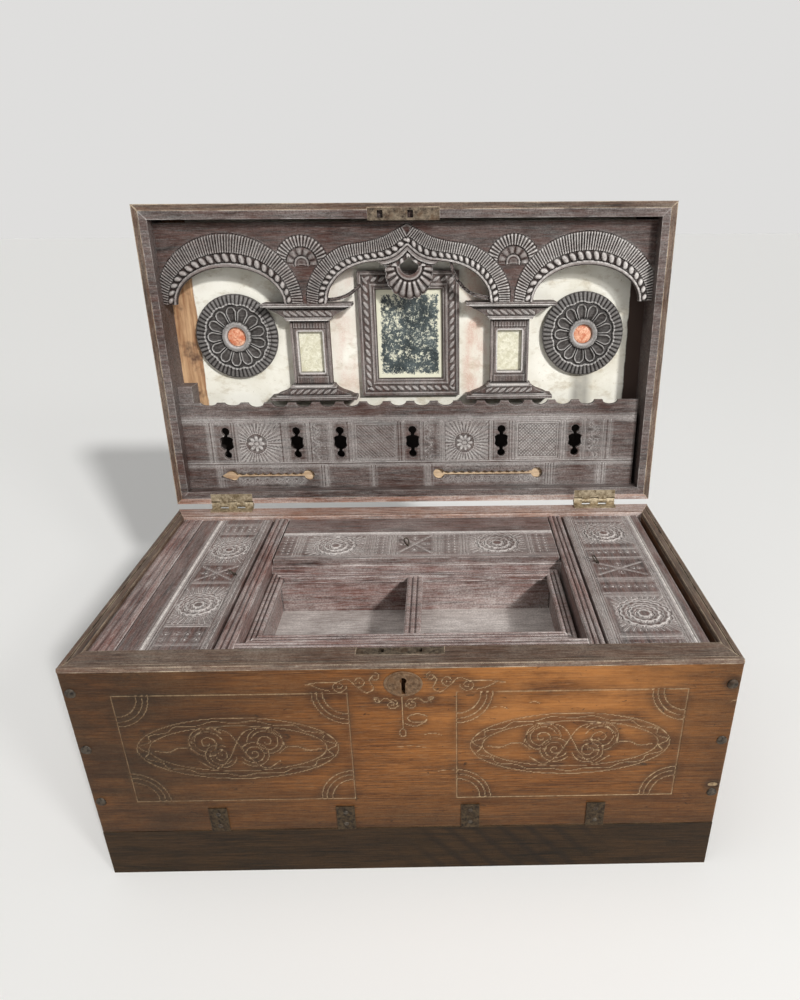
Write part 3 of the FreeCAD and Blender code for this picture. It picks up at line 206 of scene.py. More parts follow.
def wood(name, dark, base, light, dust, grain=0, dusting=0.7, veil=0.3, shine=0.5, stain=None, edges=0.5,
         wear=0.9, grime_and_shade=0.0, figure=0.35, fineness=1.0, thin=0.0, painted_light_span=None, crisp=False):
    """Old wood: streaks and pores along its grain, pale dust in its hollows, worn crests and edges, grime and
    painted shade round its cuts, painted shade in its grooves and corners, and, where asked, painted light
    from the right.
    """
    f = Finish(name)
    f.shader.inputs["Specular IOR Level"].default_value = 0.2
    streak = f.noise(along(grain, 20, 330 * fineness), 8, 0.7, 0.6)
    drift = f.noise(along(grain, 9, 60 * fineness), 6, 0.65, 0.5)
    fine = f.noise(along(grain, 90, 1500), 4, 0.65)
    speck = f.noise(520, 5, 0.75)
    haze = f.noise(along(grain, 34, 400), 7, 0.74, 0.4)
    patch = f.noise(13, 5, 0.65)
    pore = f.ramp(f.noise(along(grain, 110, 1700), 2, 0.5), 0.58, 0.68)
    lines = f.plus(f.times(streak, 1 - figure), f.times(drift, figure))
    tone = f.mix(dark, base, f.ramp(lines, 0.38, 0.58))
    tone = f.mix(tone, dark, f.times(pore, 0.7))
    tone = f.mix(tone, dust, f.times(f.ramp(fine, 0.55, 0.75), 0.25))
    if stain:
        tone = stain(f, tone)
    film = f.ramp(f.plus(f.times(haze, 0.55), f.times(patch, 0.45)), 0.4, 0.62, 0.1, 1.15)
    film = f.times(film, f.ramp(speck, 0.34, 0.6, 0.3, 1.0), veil)
    broken = f.ramp(f.noise(150, 4, 0.7), 0.36, 0.56, 0.5, 1.0)
    settled = f.times(f.ramp(f.attribute("dust"), thin, 1.0), broken, f.ramp(speck, 0.3, 0.62, 0.45, 1.0))
    # Painted light from the right: where a span is given, settled dust is fainter toward the left.
    settled = f.times(settled, f.ramp(f.axis(0), *painted_light_span, 0.4 * dusting, dusting) if painted_light_span else dusting)
    # Grime and painted shade: the low parts of a carving, round its cuts, are darkened by the near mark.
    tone = f.mix(tone, GRIME_AND_SHADE, f.times(f.attribute("near"), grime_and_shade), "MULTIPLY")
    tone = f.mix(tone, dust, f.most(film, settled))
    # Painted shade: grooves and corners of each piece, and the deep cuts of a carving, are darkened toward
    # the dark colour, less where dust has settled.
    hollow = f.hollow(1.8, 0.75) if crisp else f.hollow()
    shade = f.times(hollow, f.ramp(settled, 0, 0.5, 1, 0))
    tone = f.mix(tone, dark, f.times(f.most(f.attribute("deep"), shade), 0.85))
    rubbed = f.edge(1.1, 0.75) if crisp else f.edge()
    rubbed = f.times(rubbed, f.ramp(f.noise(along(grain, 26, 110), 5, 0.75), 0.4, 0.6), edges)
    crest = f.most(f.times(f.attribute("worn"), wear), rubbed)
    crest = f.times(crest, f.ramp(patch, 0.32, 0.6, 0.6, 1.0), f.ramp(speck, 0.3, 0.6, 0.5, 1.0))
    # Painted light from the right: where a span is given, worn crests are dimmer toward the left and brighter
    # toward the right.
    if painted_light_span:
        crest = f.times(crest, f.ramp(f.axis(0), *painted_light_span, 0.6, 1.2))
    tone = f.mix(tone, light, crest)
    f.bump(f.plus(f.times(fine, 0.6), f.times(speck, 0.6)), 0.5, 0.7)
    return f.finish(tone, f.ramp(patch, 0.3, 0.7, shine, shine + 0.18))


def front_stain_and_shade(f, tone):
    """Darkening toward the ends and the foot, partly wear from hands and partly painted shade where the light
    falls off to the left and below; a painted highlight right of the middle; and spots of old grime.
    """
    # Painted shade, mixed with real wear: the left end, the right end and the foot darken.
    left = f.ramp(f.axis(0), 0.0, -0.24)
    right = f.ramp(f.axis(0), 0.2, 0.3, 0, 0.7)
    foot = f.ramp(f.axis(2), 0.14, 0.06, 0, 0.8)
    cloud = f.noise((9, 9, 26), 6, 0.7)
    grime_and_shade = f.most(f.most(left, right), foot)
    grime_and_shade = f.times(grime_and_shade, f.ramp(cloud, 0.3, 0.52, 0.62, 1.0))
    # Painted highlight: a warm lighter patch right of the middle, high on the board.
    bright = f.times(f.ramp(f.axis(0), -0.02, 0.1), f.ramp(f.axis(2), 0.13, 0.19))
    tone = f.mix(tone, colour(176, 116, 60), f.times(bright, f.ramp(cloud, 0.42, 0.6), 0.5))
    tone = f.mix(tone, colour(36, 22, 12), f.times(grime_and_shade, 0.88))
    spots = f.ramp(f.noise((90, 90, 170), 2, 0.5, 1.5), 0.68, 0.74)
    return f.mix(tone, colour(38, 23, 14), f.times(spots, 0.75))


def uneven_darkening(f, tone):
    """Uneven darkening, with more of it at the foot."""
    cloud = f.noise((11, 11, 15), 6, 0.7)
    foot = f.ramp(f.axis(2), 0.12, 0.05, 0, 0.5)
    return f.mix(tone, colour(44, 28, 16), f.most(foot, f.ramp(cloud, 0.42, 0.66, 0.1, 0.7)))


SAW_PITCH = 0.027


def saw_marks(f, tone):
    """Slanting marks of the saw across the right half of the plinth."""
    run = f.plus(f.axis(0), f.times(f.axis(2), 0.9))
    wave = f.math("SINE", f.times(run, 2 * math.pi / SAW_PITCH))
    held = f.times(f.ramp(f.axis(0), -0.02, 0.03), f.ramp(f.axis(0), 0.21, 0.17))
    return f.mix(tone, colour(18, 12, 8), f.times(f.ramp(wave, 0.0, 1.0), held, 0.6))


DUST = colour(204, 198, 193)
PALE_DUST = colour(232, 224, 218)
TEAK = dict(dark=colour(70, 37, 15), base=colour(134, 83, 36), light=colour(218, 184, 140))
PLAIN_TEAK = dict(TEAK, dust=DUST, veil=0.1, shine=0.45, stain=uneven_darkening, fineness=1.5)
CARVED = dict(dark=colour(22, 14, 11), base=colour(72, 42, 33), light=colour(228, 223, 218), dust=DUST)
DUSTY = dict(dark=colour(38, 21, 18), base=colour(112, 65, 54), light=colour(236, 228, 222), dust=PALE_DUST,
             dusting=0.85, edges=1.0, figure=0.4, fineness=1.4, crisp=True)
TILL = dict(dark=colour(34, 20, 17), base=colour(92, 54, 44), light=colour(240, 233, 227), dust=PALE_DUST,
            dusting=1.4, edges=0.9, figure=0.25, grime_and_shade=0.45, thin=0.35)
CASE = dict(dark=colour(30, 19, 14), base=colour(88, 59, 43), light=colour(194, 176, 150),
            dust=colour(190, 176, 160), edges=1.0, fineness=1.4, crisp=True)

finishes = {
    "front": wood("front_teak", dust=colour(192, 167, 130), dusting=0.9, veil=0.05, shine=0.42,
                  stain=front_stain_and_shade, wear=0.08, grime_and_shade=0.9, figure=0.2, fineness=2.0, thin=0.35,
                  painted_light_span=(-0.34, 0.04), **TEAK),
    "ends": wood("end_teak", grain=1, **PLAIN_TEAK),
    "back": wood("back_teak", **PLAIN_TEAK),
    "plinth": wood("plinth_teak", colour(10, 7, 3), colour(54, 36, 18), colour(110, 88, 60),
                   colour(84, 68, 46), veil=0.12, shine=0.55, stain=saw_marks, edges=0.4, fineness=1.5),
    "rim_back": wood("rim_teak", colour(74, 42, 28), colour(150, 104, 80), colour(238, 218, 196), PALE_DUST,
                     veil=0.6),
    "carved": wood("carved_teak", dusting=0.95, veil=0.34, thin=0.4, grime_and_shade=0.3, **CARVED),
    "arches": wood("arcade_teak", dusting=0.05, veil=0.17, edges=0.8, painted_light_span=(-0.25, 0.2), **CARVED),
    "carved_up": wood("carved_teak_upright", grain=2, dusting=0.15, veil=0.28, edges=0.8, **CARVED),
    "disc": wood("roundel_teak", colour(16, 12, 11), colour(50, 42, 39), colour(206, 202, 198),
                 colour(170, 166, 162), dusting=0.1, wear=0.95),
    "till": wood("till_teak", veil=0.36, **TILL),
    "till_deep": wood("till_teak_deep", grain=1, veil=0.25, **TILL),
    "dusty": wood("dusty_teak", veil=0.56, **DUSTY),
    "dusty_deep": wood("dusty_teak_deep", grain=1, veil=0.45, **DUSTY),
    "dusty_floor": wood("dusty_floor_teak", colour(104, 93, 88), colour(156, 145, 139), colour(222, 214, 207),
                        PALE_DUST, veil=0.8, fineness=1.8),
    "case": wood("case_teak", veil=0.34, **CASE),
    "case_up": wood("case_teak_upright", grain=2, veil=0.32, **CASE),
    "case_deep": wood("case_teak_deep", grain=1, veil=0.28, **CASE),
}


def iron_finish(name, dark, light, rust, roughness):
    """Dull metal, mottled with rust or grime and rubbed bright on its edges."""
    f = Finish(name, metallic=0.75)
    mottle = f.noise(260, 5, 0.65)
    tone = f.mix(dark, light, f.ramp(mottle, 0.35, 0.7))
    tone = f.mix(tone, rust, f.times(f.ramp(f.noise(120, 4, 0.6), 0.5, 0.68), 0.75))
    bright = f.most(f.attribute("worn"), f.edge(0.35))
    tone = f.mix(tone, light, f.times(bright, 0.8))
    tone = f.mix(tone, rust, f.times(f.attribute("dust"), 0.8))
    f.bump(mottle, 0.35, 0.6)
    return f.finish(tone, f.ramp(mottle, 0.3, 0.7, roughness, roughness + 0.25))


def painted_backing():
    """Cream paint on a thin board, soiled, with a bare strip at the left, a dark strip at the right that is
    bare wood with painted shadow, and painted shade low down behind the gallery panel.
    """
    f = Finish("cream_paint", 0.8)
    across = f.plus(f.axis(0), f.times(f.noise(30, 4, 0.6), 0.006))
    weave = f.noise(900, 3, 0.6)
    cloud = f.noise(16, 5, 0.6)
    tone = f.mix(colour(226, 221, 205), colour(243, 240, 228), f.ramp(cloud, 0.35, 0.6))
    blotch = f.ramp(f.noise((34, 34, 60), 5, 0.7), 0.52, 0.72, 0, 0.75)
    spots = f.ramp(f.noise(300, 3, 0.6), 0.66, 0.74, 0, 0.5)
    tone = f.mix(f.mix(tone, colour(188, 174, 146), blotch), colour(150, 135, 112), spots)
    side = f.math("ABSOLUTE", f.axis(0))
    pink = f.times(f.ramp(side, 0.062, 0.072), f.ramp(side, 0.102, 0.088),
                   f.ramp(f.axis(0), -0.02, 0.02, 0.55, 1.0), f.ramp(weave, 0.35, 0.6, 0.4, 1.0),
                   f.ramp(f.noise((40, 40, 26), 4, 0.6), 0.36, 0.66))
    tone = f.mix(tone, colour(204, 156, 136), pink)
    soiled = f.times(f.ramp(f.axis(0), 0.2, 0.21), f.ramp(f.axis(0), 0.232, 0.222),
                     f.ramp(f.axis(2), 0.425, 0.415), f.ramp(cloud, 0.3, 0.55, 0.4, 0.9))
    smudge = f.mix(tone, colour(112, 108, 102), soiled)
    bare = f.mix(colour(150, 108, 74), colour(206, 168, 128),
                 f.ramp(f.noise((220, 220, 18), 5, 0.6), 0.35, 0.65))
    bare = f.mix(bare, colour(92, 66, 50), f.ramp(f.noise(26, 4, 0.65), 0.52, 0.66))
    tone = f.mix(bare, smudge, f.ramp(across, -0.2585, -0.2575))
    # Dark strip at the right: bare wood, darkened with painted shadow.
    tone = f.mix(tone, colour(62, 46, 38), f.ramp(across, 0.2725, 0.2735))
    # Painted shade: low down behind the gallery panel the board is nearly black.
    tone = f.mix(tone, colour(34, 25, 21), f.ramp(f.axis(2), 0.367, 0.365))
    f.bump(f.plus(f.times(weave, 0.4), cloud), 0.8, 0.5)
    return f.finish(tone)


def old_mirror():
    """Foxed silvering that is lost toward the edges of the glass."""
    f = Finish("old_mirror", 0.22)
    fine = f.noise(520, 6, 0.8)
    bloom = f.noise(170, 5, 0.72)
    cloud = f.noise(38, 4, 0.6)
    edge_x = f.ramp(f.math("ABSOLUTE", f.plus(f.axis(0), 0.001), 0), 0.0335, 0.0405)
    edge_z = f.ramp(f.math("ABSOLUTE", f.math("SUBTRACT", f.axis(2), 0.4645), 0), 0.0455, 0.0545)
    corner = f.times(f.ramp(f.axis(0), 0.0, -0.035), f.ramp(f.axis(2), 0.465, 0.51))
    lost = f.most(edge_x, edge_z)
    level = f.plus(f.times(fine, 0.45), f.times(bloom, 0.55))
    level = f.plus(level, f.times(cloud, 0.22))
    level = f.plus(level, f.times(corner, 0.07))
    level = f.plus(level, f.times(lost, 0.3))
    share = f.ramp(level, 0.635, 0.70)
    silver = f.mix(colour(26, 34, 36), colour(98, 109, 110), f.ramp(f.plus(cloud, fine), 0.8, 1.2))
    tone = f.mix(silver, colour(224, 221, 198), share)
    f.link(f.ramp(share, 0, 0.5, 0.35, 0), f.shader.inputs["Metallic"])
    return f.finish(tone, f.ramp(share, 0, 1, 0.2, 0.5))


def inlay(name, base, pale, dark, scale):
    """Mottled bone or lac, let into the carving."""
    f = Finish(name, 0.45)
    mottle = f.noise(scale, 5, 0.7, 0.6)
    tone = f.mix(colour(*base), colour(*pale), f.ramp(mottle, 0.42, 0.62))
    tone = f.mix(tone, colour(*dark), f.ramp(f.noise(scale * 2, 3, 0.6), 0.58, 0.7, 0, 0.55))
    f.bump(mottle, 0.3, 0.5)
    return f.finish(tone)


for key, name, dark, light, rust, roughness in (
        ("iron", "dark_iron", (34, 30, 27), (104, 94, 82), (62, 46, 34), 0.5),
        ("plate_iron", "plate_iron", (28, 22, 17), (96, 80, 60), (50, 36, 25), 0.5),
        ("grey_iron", "grey_iron", (78, 58, 42), (146, 120, 94), (104, 74, 48), 0.45),
        ("worn_iron", "worn_iron", (58, 48, 40), (136, 122, 104), (84, 62, 44), 0.42),
        ("brass", "hinge_brass", (120, 104, 78), (200, 186, 160), (104, 88, 62), 0.4)):
    finishes[key] = iron_finish(name, colour(*dark), colour(*light), colour(*rust), roughness)
finishes["bare"] = wood("bare_wood", colour(150, 112, 78), colour(216, 186, 148), colour(238, 220, 190),
                        colour(226, 212, 192), veil=0.3, shine=0.7)
finishes["backing"] = painted_backing()
finishes["mirror"] = old_mirror()
finishes["orange"] = inlay("orange_inlay", (196, 112, 76), (234, 186, 154), (140, 62, 44), 230)
finishes["cream"] = inlay("cream_inlay", (206, 201, 174), (232, 229, 210), (148, 138, 104), 190)


def floor_and_backdrop():
    """A wide pale floor that meets a pale background."""
    f = Finish("floor", 0.9)
    f.finish(colour(246, 245, 242))
    reach = 9.0
    mesh = bpy.data.meshes.new("floor")
    mesh.from_pydata([(-reach, -reach, 0), (reach, -reach, 0), (reach, reach, 0), (-reach, reach, 0)], [],
                     [(0, 1, 2, 3)])
    mesh.materials.append(f.material)
    floor = bpy.data.objects.new("floor", mesh)
    bpy.context.scene.collection.objects.link(floor)


floor_and_backdrop()


# Light and background
def lamp(name, kind, aim, power, place=(0, 0, 0), **shape):
    """A lamp that looks along its aim."""
    data = bpy.data.lights.new(name, kind)
    data.energy = power
    for key, value in shape.items():
        setattr(data, key, value)
    light = bpy.data.objects.new(name, data)
    light.location = place
    light.rotation_mode = "QUATERNION"
    light.rotation_quaternion = Vector(aim).to_track_quat("-Z", "Y")
    bpy.context.scene.collection.objects.link(light)


NEAR_PLACE = Vector((1.1, -1.5, 1.35))
NEAR_AIM = Vector((0.08, 0, 0.3))
lamp("key", "SUN", (-0.62, 1.0, -0.64), 2.3, angle=math.radians(4))
lamp("sky", "SUN", (0.3, 0.35, -1.0), 0.85, angle=math.radians(80))
lamp("near", "AREA", NEAR_AIM - NEAR_PLACE, 12, NEAR_PLACE, size=0.3)

world = bpy.data.worlds.new("world")
bpy.context.scene.world = world
world.use_nodes = True
WORLD_LIGHT = 0.18
WORLD_SEEN = 0.737


def pale_background():
    """An even light, seen by the camera and in reflections as a paler wall."""
    tree = world.node_tree
    light = tree.nodes["Background"]
    light.inputs["Color"].default_value = (1, 1, 1, 1)
    light.inputs["Strength"].default_value = WORLD_LIGHT
    wall = tree.nodes.new("ShaderNodeBackground")
    wall.inputs["Color"].default_value = (1, 0.992, 0.98, 1)
    wall.inputs["Strength"].default_value = WORLD_SEEN
    rays = tree.nodes.new("ShaderNodeLightPath").outputs
    share = rays["Is Camera Ray"]
    for kind in ("Is Glossy Ray", "Is Transmission Ray"):
        node = tree.nodes.new("ShaderNodeMath")
        node.operation = "MAXIMUM"
        tree.links.new(share, node.inputs[0])
        tree.links.new(rays[kind], node.inputs[1])
        share = node.outputs[0]
    blend = tree.nodes.new("ShaderNodeMixShader")
    tree.links.new(share, blend.inputs[0])
    tree.links.new(light.outputs[0], blend.inputs[1])
    tree.links.new(wall.outputs[0], blend.inputs[2])
    tree.links.new(blend.outputs[0], tree.nodes["World Output"].inputs["Surface"])


pale_background()
bpy.context.scene.view_settings.view_transform = "Standard"


# Meshes
SHARP_ANGLE = 40


def on_lid(across, up, out):
    """World places of points in the open lid's frame."""
    lean, rise = math.sin(LID_LEAN), math.cos(LID_LEAN)
    return across, LID_FOOT[0] + lean * up - rise * out, LID_FOOT[1] + rise * up + lean * out


def on_top(across, back, up):
    """World places of points over the tills."""
    return across, back, up


def on_front(across, up, out):
    """World places of points before the front board."""
    return across, FRONT_Y - out, up


def hang(mesh, body, nodes):
    """An object for a finished mesh, which rides on a body in the place of CAD nodes."""
    piece = bpy.data.objects.new(mesh.name, mesh)
    bpy.context.scene.collection.objects.link(piece)
    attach(piece, body)
    if nodes:
        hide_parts(*nodes)


def add_piece(name, points, faces, finish, body, nodes=(), marks=None):
    """A mesh piece from points in millimetres, with values at its points that its finish reads."""
    mesh = bpy.data.meshes.new(name + "_piece")
    mesh.from_pydata((np.asarray(points) * MM).tolist(), [], faces)
    mesh.update()
    for mark, values in (marks or {}).items():
        mesh.attributes.new(mark, "FLOAT", "POINT").data.foreach_set("value", np.asarray(values, np.float32))
    mesh.shade_smooth()
    mesh.set_sharp_from_angle(angle=math.radians(SHARP_ANGLE))
    mesh.materials.append(finish)
    hang(mesh, body, nodes)


def unit(values):
    return np.clip(values, 0, 1)


def peak(gap, half):
    """A ridge that falls from one to zero on both sides."""
    return unit(1 - np.abs(gap) / half)


def blur(values, reach):
    """Mean over a square window, done twice."""
    for _ in range(2):
        for axis in (0, 1):
            pad = [(reach + 1, reach) if index == axis else (0, 0) for index in (0, 1)]
            total = np.cumsum(np.pad(values, pad, mode="edge"), axis=axis)
            size = values.shape[axis]
            high = np.take(total, range(2 * reach + 1, size + 2 * reach + 1), axis=axis)
            values = (high - np.take(total, range(size), axis=axis)) / (2 * reach + 1)
    return values


# How dust, wear, grime and painted shade are read off a carving, from its rise in millimetres
MARK_GAIN = 1.6
DUST_FROM = 0.06
DEEP_FINE, DEEP_FINE_SPAN = 0.4, 0.3
DEEP_WIDE, DEEP_WIDE_SPAN = 0.8, 0.8
NEAR_SPAN = 0.16


def relief(name, across, up, step, height, base, place, finish, body, nodes, inside=None, soften=0.5,
           hollow=0.5, crest=0.5):
    """A carved board: a fine grid that rises to height(u, v), cut where inside(u, v) is zero."""
    u = np.linspace(*across, int(round((across[1] - across[0]) / step)) + 1)
    v = np.linspace(*up, int(round((up[1] - up[0]) / step)) + 1)
    grid_u, grid_v = np.meshgrid(u, v, indexing="ij")
    edge = box_gap(grid_u, grid_v, *across, *up)
    if inside is None:
        gap, solid, used = edge, np.ones_like(edge, bool), np.ones_like(edge, bool)
    else:
        gap = inside(grid_u, grid_v)
        lean_u, lean_v = np.gradient(gap, u[1] - u[0], v[1] - v[0])
        slope = lean_u ** 2 + lean_v ** 2 + 1e-6
        close = np.abs(gap) < 0.62 * step * np.sqrt(slope)
        grid_u = np.where(close, np.clip(grid_u - gap * lean_u / slope, *across), grid_u)
        grid_v = np.where(close, np.clip(grid_v - gap * lean_v / slope, *up), grid_v)
        solid, used = gap < 0, (gap < 0) | close
    rise = height(grid_u, grid_v)
    weight = np.maximum(blur(solid * 1.0, 2), 0.05)
    filled = np.where(solid, rise, 0)
    fine = blur(filled, 2) / weight - rise
    broad = blur(filled, 4) / np.maximum(blur(solid * 1.0, 4), 0.05)
    # near marks the low parts round the cuts, darkened as grime and painted shade; deep marks the deepest
    # cuts, darkened as painted shade.
    near = unit((np.median(rise[solid]) - broad) / NEAR_SPAN)
    dust = unit((fine - DUST_FROM) / hollow * MARK_GAIN)
    deep = unit(np.maximum((fine - DEEP_FINE) / DEEP_FINE_SPAN, (broad - rise - DEEP_WIDE) / DEEP_WIDE_SPAN))
    rise = rise - soften * unit(1 + np.maximum(gap, edge) / (2 * soften)) ** 2
    worn = unit(-fine / crest)
    a, b, c, d = ((slice(None, -1), slice(None, -1)), (slice(1, None), slice(None, -1)),
                  (slice(1, None), slice(1, None)), (slice(None, -1), slice(1, None)))
    count = used[a] * 1 + used[b] + used[c] + used[d]
    some = solid[a] | solid[b] | solid[c] | solid[d]
    ids = np.arange(used.size).reshape(used.shape)
    full = (count == 4) & some
    quads = np.stack([ids[k][full] for k in (a, b, c, d)], axis=1)
    thirds = []
    for skip in range(4):
        corners = [k for index, k in enumerate((a, b, c, d)) if index != skip]
        lone = (count == 3) & some & ~used[(a, b, c, d)[skip]]
        thirds.append(np.stack([ids[k][lone] for k in corners], axis=1))
    thirds = np.concatenate(thirds)
    kept = np.unique(np.concatenate([quads.ravel(), thirds.ravel()]))
    number = np.full(used.size, -1)
    number[kept] = np.arange(len(kept))
    quads, thirds = number[quads], number[thirds]
    flat_u, flat_v, top = grid_u.ravel()[kept], grid_v.ravel()[kept], rise.ravel()[kept]
    ways = np.concatenate([quads[:, [0, 1]], quads[:, [1, 2]], quads[:, [2, 3]], quads[:, [3, 0]],
                           thirds[:, [0, 1]], thirds[:, [1, 2]], thirds[:, [2, 0]]])
    total = len(kept)
    keys = ways[:, 0] * total + ways[:, 1]
    rim = ways[~np.isin(keys, ways[:, 1] * total + ways[:, 0])]
    rim_points = np.unique(rim)
    below = np.full(total, -1)
    below[rim_points] = total + np.arange(len(rim_points))
    walls = np.stack([rim[:, 0], below[rim[:, 0]], below[rim[:, 1]], rim[:, 1]], axis=1)
    plan = [Vector((float(flat_u[k]), float(flat_v[k]))) for k in rim_points]
    edges = [(int(below[s] - total), int(below[e] - total)) for s, e in rim]
    _, _, under, origin, _, _ = delaunay_2d_cdt(plan, edges, [], 0, 1e-6)
    source = [total + group[0] if group else -1 for group in origin]
    under = [[source[k] for k in reversed(tri)] for tri in under]
    under = np.array([tri for tri in under if min(tri) >= 0])
    all_u = np.concatenate([flat_u, flat_u[rim_points]])
    all_v = np.concatenate([flat_v, flat_v[rim_points]])
    if inside is not None:
        middle_u, middle_v = all_u[under].mean(axis=1), all_v[under].mean(axis=1)
        under = under[inside(middle_u[:, None], middle_v[:, None])[:, 0] < 0]
    all_w = np.concatenate([top, np.full(len(rim_points), float(base))])
    points = np.stack(np.broadcast_arrays(*place(all_u, all_v, all_w)), axis=1)
    tail = np.zeros(len(rim_points))
    marks = {mark: np.concatenate([values.ravel()[kept], tail])
             for mark, values in (("dust", dust), ("worn", worn), ("near", near), ("deep", deep))}
    faces = quads.tolist() + thirds.tolist() + walls.tolist() + under.tolist()
    add_piece(name, points, faces, finish, body, nodes, marks)


# Outlines as distances: below zero inside
def sides_gap(place, low, high):
    """Distance past the nearer of two limits on one axis."""
    return np.maximum(low - place, place - high)


def box_gap(u, v, u0, u1, v0, v1):
    return np.maximum(sides_gap(u, u0, u1), sides_gap(v, v0, v1))


def disc_gap(u, v, centre, radius):
    return np.hypot(u - centre[0], v - centre[1]) - radius


def polygon_gap(u, v, corners):
    """Signed distance to a closed outline."""
    best = np.full(u.shape, 1e9)
    odd = np.zeros(u.shape, bool)
    for (x0, y0), (x1, y1) in zip(corners, corners[1:] + corners[:1]):
        run_x, run_y = x1 - x0, y1 - y0
        share = unit(((u - x0) * run_x + (v - y0) * run_y) / (run_x ** 2 + run_y ** 2 + 1e-12))
        best = np.minimum(best, (u - x0 - share * run_x) ** 2 + (v - y0 - share * run_y) ** 2)
        if y0 != y1:
            odd ^= ((y0 > v) != (y1 > v)) & (u < (x1 - x0) * (v - y0) / (y1 - y0) + x0)
    return np.sqrt(best) * np.where(odd, -1, 1)


def path_gap(u, v, points):
    """Distance to an open line, and how far along it the nearest place lies."""
    best = np.full(u.shape, 1e9)
    where = np.zeros(u.shape)
    run = 0.0
    for (x0, y0), (x1, y1) in zip(points, points[1:]):
        run_x, run_y = x1 - x0, y1 - y0
        length = math.hypot(run_x, run_y) + 1e-9
        share = unit(((u - x0) * run_x + (v - y0) * run_y) / length ** 2)
        gap = (u - x0 - share * run_x) ** 2 + (v - y0 - share * run_y) ** 2
        closer = gap < best
        best = np.where(closer, gap, best)
        where = np.where(closer, run + share * length, where)
        run += length
    return np.sqrt(best), where


def smooth_line(points, steps=8):
    """A smooth line through given points."""
    points = [np.array(p, float) for p in points]
    ends = [2 * points[0] - points[1]] + points + [2 * points[-1] - points[-2]]
    line = []
    for p0, p1, p2, p3 in zip(ends, ends[1:], ends[2:], ends[3:]):
        for index in range(steps):
            t = index / steps
            line.append(0.5 * (2 * p1 + (p2 - p0) * t + (2 * p0 - 5 * p1 + 4 * p2 - p3) * t ** 2
                               + (3 * p1 - p0 - 3 * p2 + p3) * t ** 3))
    return [tuple(p) for p in line + [points[-1]]]


def ellipse_line(centre, half_u, half_v, start=0, end=360, steps=72, wave=0.0, waves=0):
    line = []
    for index in range(steps + 1):
        angle = math.radians(start + (end - start) * index / steps)
        swell = 1 + wave * math.sin(waves * angle)
        line.append((centre[0] + half_u * swell * math.cos(angle),
                     centre[1] + half_v * swell * math.sin(angle)))
    return line


def spiral(centre, radius, start, turns, hand=1, core=0.12, steps=30):
    """A line that curls in to a centre."""
    line = []
    for index in range(steps + 1):
        share = index / steps
        angle = math.radians(start) + hand * 2 * math.pi * turns * share
        reach = radius * (1 - (1 - core) * share)
        line.append((centre[0] + reach * math.cos(angle), centre[1] + reach * math.sin(angle)))
    return line


def carve(rise, u, v, line, half=0.9, depth=0.8):
    """Cuts a groove with sloping sides along a line."""
    xs, ys = [p[0] for p in line], [p[1] for p in line]
    near = ((u > min(xs) - half) & (u < max(xs) + half) & (v > min(ys) - half) & (v < max(ys) + half))
    if near.any():
        gap, _ = path_gap(u[near], v[near], line)
        rise[near] -= depth * unit(1 - gap / half)


def soft(value, low, high):
    share = unit((value - low) / (high - low))
    return share * share * (3 - 2 * share)


def groove(gap, half, depth):
    return -depth * peak(gap, half)


# Front board with its incised ornament
KEYHOLE_EYE, KEYHOLE_RADIUS = (0, 236.8), 3.2
KEYHOLE_HALF, KEYHOLE_FOOT = 1.8, 222


def keyhole_gap(u, v):
    slit = box_gap(u, v, -KEYHOLE_HALF, KEYHOLE_HALF, KEYHOLE_FOOT, KEYHOLE_EYE[1])
    return np.minimum(disc_gap(u, v, KEYHOLE_EYE, KEYHOLE_RADIUS), slit)


def mirrored(way, *points, x=0, z=0):
    """Points about a place, turned over where way is -1."""
    return [(x + way * across, z + up) for across, up in points]


def panel_lines(x0, x1, z0, z1):
    """A frame with three arcs in each corner."""
    lines = [[(x0, z0), (x1, z0), (x1, z1), (x0, z1), (x0, z0)]]
    for x, z, start in ((x0, z0, 0), (x1, z0, 90), (x1, z1, 180), (x0, z1, 270)):
        for radius in (24, 30, 35):
            lines.append(ellipse_line((x, z), radius * 0.93, radius, start, start + 90, 14))
    return lines


def oval_lines(x, z, hand):
    """A wavy band between two ovals, round four curls and their stems."""
    lines = [ellipse_line((x, z), 94, 36.5), ellipse_line((x, z), 83, 27),
             ellipse_line((x, z), 88.5, 31.8, steps=140, wave=0.045, waves=15)]
    for dx, dz, radius, start, way in ((-28, 7, 15, 20, 1), (-18, -8, 12, 330, -1), (14, -6, 12, 200, 1),
                                       (27, 8, 14, 160, -1)):
        place = (x + hand * dx, z + dz)
        inner, outer = (start, start + 20) if hand > 0 else (180 - start, 160 - start)
        lines.append(spiral(place, radius, inner, 1.9, way * hand))
        lines.append(spiral(place, radius + 3.6, outer, 0.8, way * hand, 0.8))
    for way in (-1, 1):
        lines.append(smooth_line(mirrored(way, (78, -1), (66, -3), (55, 2), (45, 1), (38, -6), x=x, z=z)))
        lines.append(smooth_line(mirrored(way, (44, 2), (40, 14), (26, 24), (8, 20), (-2, 4), (-10, -12),
                                          (-24, -24), (-38, -15), x=x, z=z)))
    return lines


